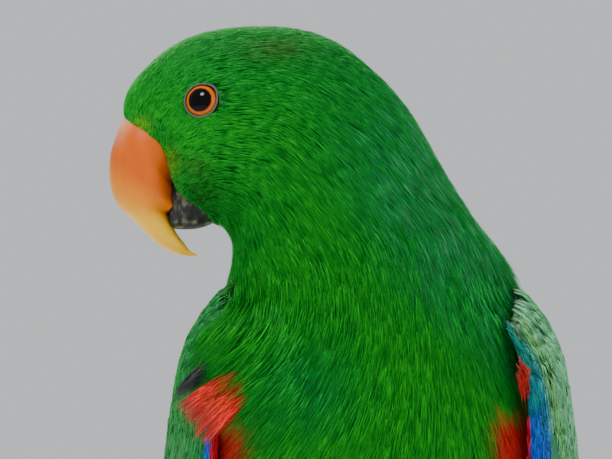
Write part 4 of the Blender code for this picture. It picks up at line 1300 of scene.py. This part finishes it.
def makeEye(name, spot, node):
    place, out = spot
    centre = toRow(place + out * (eye["apex"] - eye["radius"]))
    bpy.ops.object.select_all(action="DESELECT")
    bpy.ops.mesh.primitive_uv_sphere_add(
        segments=64, ring_count=48, radius=eye["radius"] * 0.001, location=centre)
    ball = bpy.context.active_object
    ball.name = name
    ball.rotation_euler = Vector(out).to_track_quat("Z", "Y").to_euler()
    bpy.ops.object.transform_apply(location=True, rotation=True, scale=True)
    bpy.ops.object.shade_smooth()
    attribute = ball.data.attributes.new("fromAxis", "FLOAT", "POINT")
    for vertex in ball.data.vertices:
        away = (np.array(vertex.co) - centre) * 1000
        along = away.dot(out)
        aside = np.linalg.norm(away - out * along) if along > 0 else eye["radius"]
        attribute.data[vertex.index].value = float(aside)
    ball.data.materials.append(eyeMaterial)
    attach(ball, "root")
    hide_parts(node)


makeEye("eyeLeft", eyeSpots["left"], "eye_left")
makeEye("eyeRight", eyeSpots["right"], "eye_right")
print("eyes made")


# places across a vane, closer at its shaft
vaneAcross = (-1.0, -0.72, -0.4, -0.07, 0.0, 0.07, 0.4, 0.72, 1.0)


def vaneFaces(rows, columns):
    # the upper face, the lower face and the four rims between them
    below = rows * columns
    upper = gridFaces(rows, columns, False)
    rims = []
    for i in range(rows - 1):
        for p, q in ((i * columns, (i + 1) * columns), ((i + 2) * columns - 1, (i + 1) * columns - 1)):
            rims.append((p, q, q + below, p + below))
    for j in range(columns - 1):
        k = (rows - 1) * columns + j
        rims.append((j + 1, j + 1 + below, j + below, j))
        rims.append((k, k + below, k + 1 + below, k + 1))
    return np.concatenate((upper, upper[:, ::-1] + below, np.array(rims)))


def vaneGrid(surface, root, tip, half, heights, steps, pointed, tilt=0.4, camber=0.5):
    # one feather over a surface: points of both faces, its own millimetre map, and places along and across
    along = np.linspace(0, 0.985, steps)
    rise = 0.5 + 0.5 * np.sin(np.clip(along / 0.35, 0, 1) * math.pi / 2)
    late = np.clip((along - 0.5) / 0.5, 0, 1)
    wide = half * rise * (1 - late ** pointed) ** (1 / pointed)
    a, b = flatGrid(along, vaneAcross)
    w = np.repeat(wide, len(vaneAcross))
    s = between(root[0], tip[0], a)
    t = between(root[1], tip[1], a)
    height = np.interp(a, (0, 0.5, 1), heights)
    stretch = np.linalg.norm(surface(s, t + 0.02, height) - surface(s, t - 0.02, height), axis=1) / 0.04
    level = height - tilt * b - camber * b * b + 0.14 * (np.abs(b) < 0.05)
    s = s - 0.03 * np.abs(b) * (tip[0] - root[0]) * a
    t = t + b * w / stretch
    thick = 0.10 + 0.12 * (np.abs(b) < 0.1)
    points = np.concatenate((surface(s, t, level + thick / 2), surface(s, t, level - thick / 2)))
    length = np.linalg.norm(surface(tip[0], tip[1], heights[2]) - surface(root[0], root[1], heights[0]))
    millimetres = np.stack((b * w, a * length), 1)
    faces = vaneFaces(steps, len(vaneAcross))
    return points, faces, np.tile(millimetres, (2, 1)), np.tile(a, 2), np.tile(b, 2)


class FeatherSheet:
    # gathers feathers into one piece, with a cell of the bake map for each
    def __init__(self):
        self.points, self.faces, self.maps, self.tints, self.cells = [], [], [], [], []
        self.count = 0

    def add(self, grid, tint):
        points, faces, millimetres, a, b = grid
        self.points.append(points)
        self.faces.append(faces + self.count)
        self.count += len(points)
        self.maps.append(millimetres)
        self.tints.append(tint)
        self.cells.append(np.stack((0.5 + 0.44 * b, 0.03 + 0.94 * a), 1))

    def piece(self, name, flip=1, shift=0.0):
        side = math.ceil(math.sqrt(len(self.cells)))
        bake = []
        for i, cell in enumerate(self.cells):
            half = len(cell) // 2
            corner = np.array((i % side, i // side))
            placed = (cell + corner) / side
            placed[half:] = (cell[half:] * (0.5, 1.0) + corner) / side
            bake.append(placed)
        points = np.concatenate(self.points) * (flip, 1, 1) + (shift, 0, 0)
        faces = np.concatenate(self.faces)
        if flip < 0:
            faces = faces[:, ::-1]
        tints, maps = np.concatenate(self.tints), np.concatenate(self.maps)
        made = pieceFrom(name, toRow(points), faces, tints, np.concatenate(bake), maps)
        made.data.materials.append(vaneMaterial)
        return made


wingTones = {
    "mintSheen": (70, 176, 104), "green": (10, 134, 46), "edgeBlue": (0, 84, 205), "teal": (0, 132, 150),
    "primary": (14, 60, 150), "inner": (18, 22, 26), "shaft": (20, 30, 26),
}
wingLinear = {key: colour(*value) for key, value in wingTones.items()}

# tiers: count, first and last root, first and last tip, half width, height, steps, roundness
wingTiers = {
    "primary": (10, (0.42, 0.34), (0.40, 0.10), (0.985, 0.62), (0.66, 0.03), 7.2, -1.0, 16, 1.7),
    "secondary": (11, (0.36, 0.90), (0.36, 0.16), (0.71, 0.93), (0.60, 0.13), 7.0, -0.2, 14, 2.6),
    "primaryCovert": (6, (0.20, 0.24), (0.17, 0.04), (0.46, 0.18), (0.38, 0.02), 3.8, 0.0, 9, 2.2),
    "greaterCovert": (12, (0.24, 0.94), (0.22, 0.12), (0.46, 0.96), (0.41, 0.12), 5.0, 0.3, 10, 2.6),
    "medianCovert": (13, (0.20, 0.96), (0.18, 0.08), (0.35, 0.97), (0.32, 0.08), 4.4, 0.5, 8, 2.6),
}


def vaneTint(tier, a, b, t, chance):
    # the leading web lies at negative b
    # the paler mint on the coverts' tips and rims is a painted sheen
    tones = wingLinear
    if tier == "primary":
        tint = blendColour(tones["primary"], tones["inner"], ramp(b, -0.25, 0.1))
        tint = blendColour(tint, tones["inner"], ramp(a, 0.8, 1.0) * 0.8)
    elif tier == "medianCovert":
        tint = blendColour(tones["green"], tones["mintSheen"], 0.06 + 0.2 * ramp(a, 0.3, 1.0))
        tint = blendColour(tint, tones["teal"], 0.6 * (1 - ramp(t, 0.02, 0.12)))
    else:
        blue = 1.0 if tier == "primaryCovert" else 0.75
        tint = blendColour(tones["green"], tones["edgeBlue"], (1 - ramp(t, 0.0, 0.3)) * blue)
        tint = blendColour(tint, tones["mintSheen"], ramp(np.abs(b), 0.5, 1.0) * 0.22)
    tint = blendColour(tint, tones["shaft"], (np.abs(b) < 0.05) * 0.5)
    # vanes darker towards the root, as painted shade under the feathers that cover them
    return tint * between(0.55, 1.0, ramp(a, 0.1, 0.6))[:, None] * math.exp(chance.normal(0, 0.08))


def fillWing(sheet, wing):
    chance = np.random.default_rng(wing["vaneSeed"])
    for tier, (count, rootA, rootB, tipA, tipB, half, height, steps, pointed) in wingTiers.items():
        for k in range(count):
            share = k / (count - 1)
            root = between(np.array(rootA), np.array(rootB), share)
            tip = between(np.array(tipA), np.array(tipB), share)
            if tier == "primary":
                tip[0] = between(tipA[0], tipB[0], share ** 1.2)
            tip = tip + (chance.uniform(-0.006, 0.006), chance.uniform(-0.008, 0.008))
            level = height + chance.uniform(-0.08, 0.08)
            if tier == "primary":
                level = height - 0.12 * (count - 1 - k)
            heights = (level - 1.6, level - 0.2, level + 0.15)
            wide = half * math.exp(chance.normal(0, 0.05))
            grid = vaneGrid(wingPoint, root, tip, wide, heights, steps, pointed)
            a, b = grid[3:]
            t = between(root[1], tip[1], a)
            sheet.add(grid, vaneTint(tier, a, b, t + wing["inward"], chance))


# dark: how dark the wing's covered body is painted, as the shade under its feathers
wingCore = {"rings": 34, "from": 0.012, "reach": 0.64, "inset": 0.8, "dark": 0.25}


def wingBody(sheet):
    # the covered body of the wing, with a rounded front edge, painted dark green as the shade under its
    # feathers
    across = np.concatenate((np.linspace(1.0, 0.0, 14), np.linspace(-0.1, -1.3, 13)))
    rings = []
    for s in wingCore["from"] + np.linspace(0, 1, wingCore["rings"]) * wingCore["reach"]:
        point, ahead, around, out = wingFrame(np.full(len(across), s), across)
        depth = 1.1 + 0.9 * (1 - ramp(s, 0.01, 0.05)) + 2.8 * ramp(s, 0.36, 0.5) + wingSink(s)
        outer = point - out * depth
        back = outer[:1] - out[:1] * wingCore["inset"]
        inner = between(outer[-1:], back, np.linspace(0.1, 1, 11)[:, None])
        rings.append(np.concatenate((outer, inner)))
    columns = len(rings[0])
    count = len(rings) * columns
    points = np.concatenate(rings + [rings[0].mean(0)[None], rings[-1].mean(0)[None]])
    ends = []
    for centre, end in ((count, 0), (count + 1, count - columns)):
        for j in range(0, columns, 2):
            ends.append((centre, end + j, end + j + 1, end + (j + 2) % columns))
    faces = np.concatenate((gridFaces(len(rings), columns, True), np.array(ends)))
    tint = np.tile(wingLinear["green"] * wingCore["dark"], (len(points), 1))
    flat = np.zeros(len(points))
    sheet.add((points, faces, np.zeros((len(points), 2)), flat, flat), tint)


for sideName, wing in wingSides.items():
    sheet = FeatherSheet()
    wingBody(sheet)
    fillWing(sheet, wing)
    piece = sheet.piece("wing" + sideName, wing["flip"], whole["wingShift"])
    outwards(piece)
    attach(piece, "root")
    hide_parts("wing_left" if wing["flip"] > 0 else "wing_right")
    print(piece.name, len(piece.data.polygons), "faces")


tailTones = {"top": (30, 130, 60), "topBlue": (20, 70, 120), "tip": (200, 190, 90), "under": (30, 30, 32)}
tailLinear = {key: colour(*value) for key, value in tailTones.items()}
tailVanes = {"pairs": 6, "half": 7.4, "covertHalf": 4.8, "apart": 0.55, "sideApart": 0.25, "seed": 31}

# the tail's coverts: where their roots lie along it, how far they reach, how many, heights and tone
tailCoverts = (
    (-0.02, 0.55, 8, (4.0, 2.8, 1.4), "back"), (-0.10, 0.36, 8, (7.0, 4.8, 2.6), "back"),
    (-0.16, 0.20, 7, (9.4, 7.2, 4.6), "back"), (0.0, 0.48, 8, (-8.5, -6.2, -4.6), "belly"),
    (-0.02, 0.34, 7, (-9.6, -8.2, -6.6), "belly"),
)


def addTailFeathers(sheet, chance):
    for pair in range(tailVanes["pairs"]):
        for side in (-1, 1):
            spot = side * (pair + 0.35) / tailVanes["pairs"]
            level = side * tailVanes["sideApart"] - tailVanes["apart"] * pair
            root, tip = (-0.02, spot * 0.5), (0.995 - 0.006 * pair, spot * 0.82)
            grid = vaneGrid(tailPoint, root, tip, tailVanes["half"], (level, level, level), 18, 3.0, 0.0)
            a = grid[3]
            blue = 0.12 * pair + 0.3 * ramp(a, 0.5, 0.9)
            tint = blendColour(tailLinear["top"], tailLinear["topBlue"], blue)
            tint = blendColour(tint, tailLinear["tip"], ramp(a, 0.93, 0.98))
            half = len(a) // 2
            tint[half:] = blendColour(tailLinear["under"], tailLinear["tip"], ramp(a[half:], 0.92, 0.97))
            sheet.add(grid, tint * math.exp(chance.normal(0, 0.06)))


def addTailCoverts(sheet, chance):
    for first, reach, count, heights, tone in tailCoverts:
        camber = 0.5 if heights[0] > 0 else -0.5
        for k in range(count):
            spot = between(-0.66, 0.66, k / (count - 1))
            root = (first, spot * 0.7)
            tip = (reach - 0.06 * abs(spot) + chance.uniform(-0.01, 0.01), spot)
            grid = vaneGrid(tailPoint, root, tip, tailVanes["covertHalf"], heights, 10, 2.4, 0.0, camber)
            a = grid[3]
            # coverts darker towards the root, as painted shade where they overlap
            tint = linear[tone] * (0.5 + 0.6 * ramp(a, 0.2, 0.9))[:, None]
            sheet.add(grid, tint * math.exp(chance.normal(0, 0.08)))


def makeTail():
    chance = np.random.default_rng(tailVanes["seed"])
    sheet = FeatherSheet()
    addTailFeathers(sheet, chance)
    addTailCoverts(sheet, chance)
    piece = sheet.piece("tailFeathers")
    outwards(piece)
    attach(piece, "root")
    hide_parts("tail")


makeTail()
print("tail made")


footLook = {"tone": (112, 106, 100), "roughness": 0.62, "scales": 620.0, "middle": 1.25, "rim": 0.55}


def makeFootMaterial():
    material = newMaterial("footSkin", footLook["roughness"], 0.4)
    cells = material.node_tree.nodes.new("ShaderNodeTexVoronoi")
    cells.inputs["Scale"].default_value = footLook["scales"]
    material.node_tree.links.new(objectPlace(material, (1, 1, 1)), cells.inputs["Vector"])
    far = cells.outputs["Distance"]
    paint(material, plainTone(material, colour(*footLook["tone"])), far, footLook["middle"], footLook["rim"])
    addBump(material, far, 0.5, 0.0003)
    return material


def dress(node, material):
    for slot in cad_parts[node].material_slots:
        slot.material = material


footMaterial = makeFootMaterial()
clawMaterial = makeNoiseMaterial("claw")
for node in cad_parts:
    if node.startswith("foot_"):
        dress(node, footMaterial)
    if node.startswith("claw_"):
        dress(node, clawMaterial)


# the perch and the base: tones from dark to pale, how the grain is stretched, its scale and its depth
woods = {
    "perch": {
        "name": "bareBranch", "tones": ((128, 84, 50), (190, 140, 92), (222, 188, 146), (236, 210, 176)),
        "roughness": 0.75, "stretch": (0.25, 1, 1), "scale": 90.0, "bump": 0.5},
    "stand_base": {
        "name": "baseWood", "tones": ((40, 26, 18), (66, 42, 28), (82, 54, 36)),
        "roughness": 0.32, "stretch": (1, 0.08, 1), "scale": 50.0, "bump": 0.08},
}


def makeWoodMaterial(look):
    material = newMaterial(look["name"], look["roughness"], 0.4)
    wood = material.node_tree.nodes.new("ShaderNodeGroup")
    wood.node_tree = woodGroup
    wood.inputs["Scale"].default_value = look["scale"]
    material.node_tree.links.new(objectPlace(material, look["stretch"]), wood.inputs["Place"])
    last = len(look["tones"]) - 1
    stops = [(between(0.3, 0.7, i / last), tone) for i, tone in enumerate(look["tones"])]
    tone = toneRamp(material, wood.outputs["Blotch"], stops)
    paint(material, tone, wood.outputs["Grain"], 0.78, 1.12)
    addBump(material, wood.outputs["Grain"], look["bump"], 0.0006)
    return material


def makeSteel():
    material = newMaterial("rodSteel", 0.3, 0.5, 1.0)
    shaderOf(material).inputs["Base Color"].default_value = (0.56, 0.56, 0.57, 1)
    addBump(material, objectNoise(material, 900.0, 2.0, (1, 1, 0.05)), 0.1, 0.0001)
    return material


for node, look in woods.items():
    dress(node, makeWoodMaterial(look))
steel = makeSteel()
dress("stand_rod_left", steel)
dress("stand_rod_right", steel)
print("stand dressed")


# places in metres; lights: place, width and power
studio = {
    "distance": 1.4, "widthAtHead": 0.1665, "aimX": -0.0169, "aimZ": 0.2894, "headY": -0.034, "sensor": 36,
    "floor": (0.78, 0.78, 0.77), "air": (0.86, 0.88, 0.90), "airStrength": 0.75, "lightsAim": (0, 0, 0.24),
    "lights": {
        "keyLight": ((-0.45, -0.9, 1.6), 0.5, 27.0),
        "backLight": ((0.1, 0.85, 1.45), 0.8, 36.0),
        "fillLight": ((1.2, -0.9, 0.7), 1.0, 7.0)},
}


def makeFloor():
    bpy.ops.object.select_all(action="DESELECT")
    bpy.ops.mesh.primitive_plane_add(size=6, location=(0, 0, 0))
    floor = bpy.context.active_object
    floor.name = "floor"
    material = newMaterial("paleFloor", 0.9, 0.2)
    paint(material, plainTone(material, studio["floor"]), objectNoise(material, 3.0), 0.985, 1.0)
    floor.data.materials.append(material)


def makeLights():
    world = bpy.data.worlds.new("studio")
    bpy.context.scene.world = world
    world.use_nodes = True
    background = world.node_tree.nodes["Background"]
    background.inputs["Color"].default_value = (*studio["air"], 1)
    background.inputs["Strength"].default_value = studio["airStrength"]
    for name, (spot, size, power) in studio["lights"].items():
        light = bpy.data.lights.new(name, "AREA")
        light.shape = "DISK"
        light.size = size
        light.energy = power
        lamp = bpy.data.objects.new(name, light)
        lamp.location = spot
        way = Vector(studio["lightsAim"]) - Vector(spot)
        lamp.rotation_euler = way.to_track_quat("-Z", "Y").to_euler()
        bpy.context.scene.collection.objects.link(lamp)


def makeCamera():
    camera = bpy.data.cameras.new("camera")
    camera.sensor_width = studio["sensor"]
    camera.lens = studio["sensor"] * studio["distance"] / studio["widthAtHead"]
    camera.clip_end = 50
    holder = bpy.data.objects.new("camera", camera)
    holder.location = (studio["aimX"], studio["headY"] - studio["distance"], studio["aimZ"])
    holder.rotation_euler = (math.radians(90), 0, 0)
    bpy.context.scene.collection.objects.link(holder)
    bpy.context.scene.camera = holder


makeFloor()
makeLights()
makeCamera()
print("studio made")
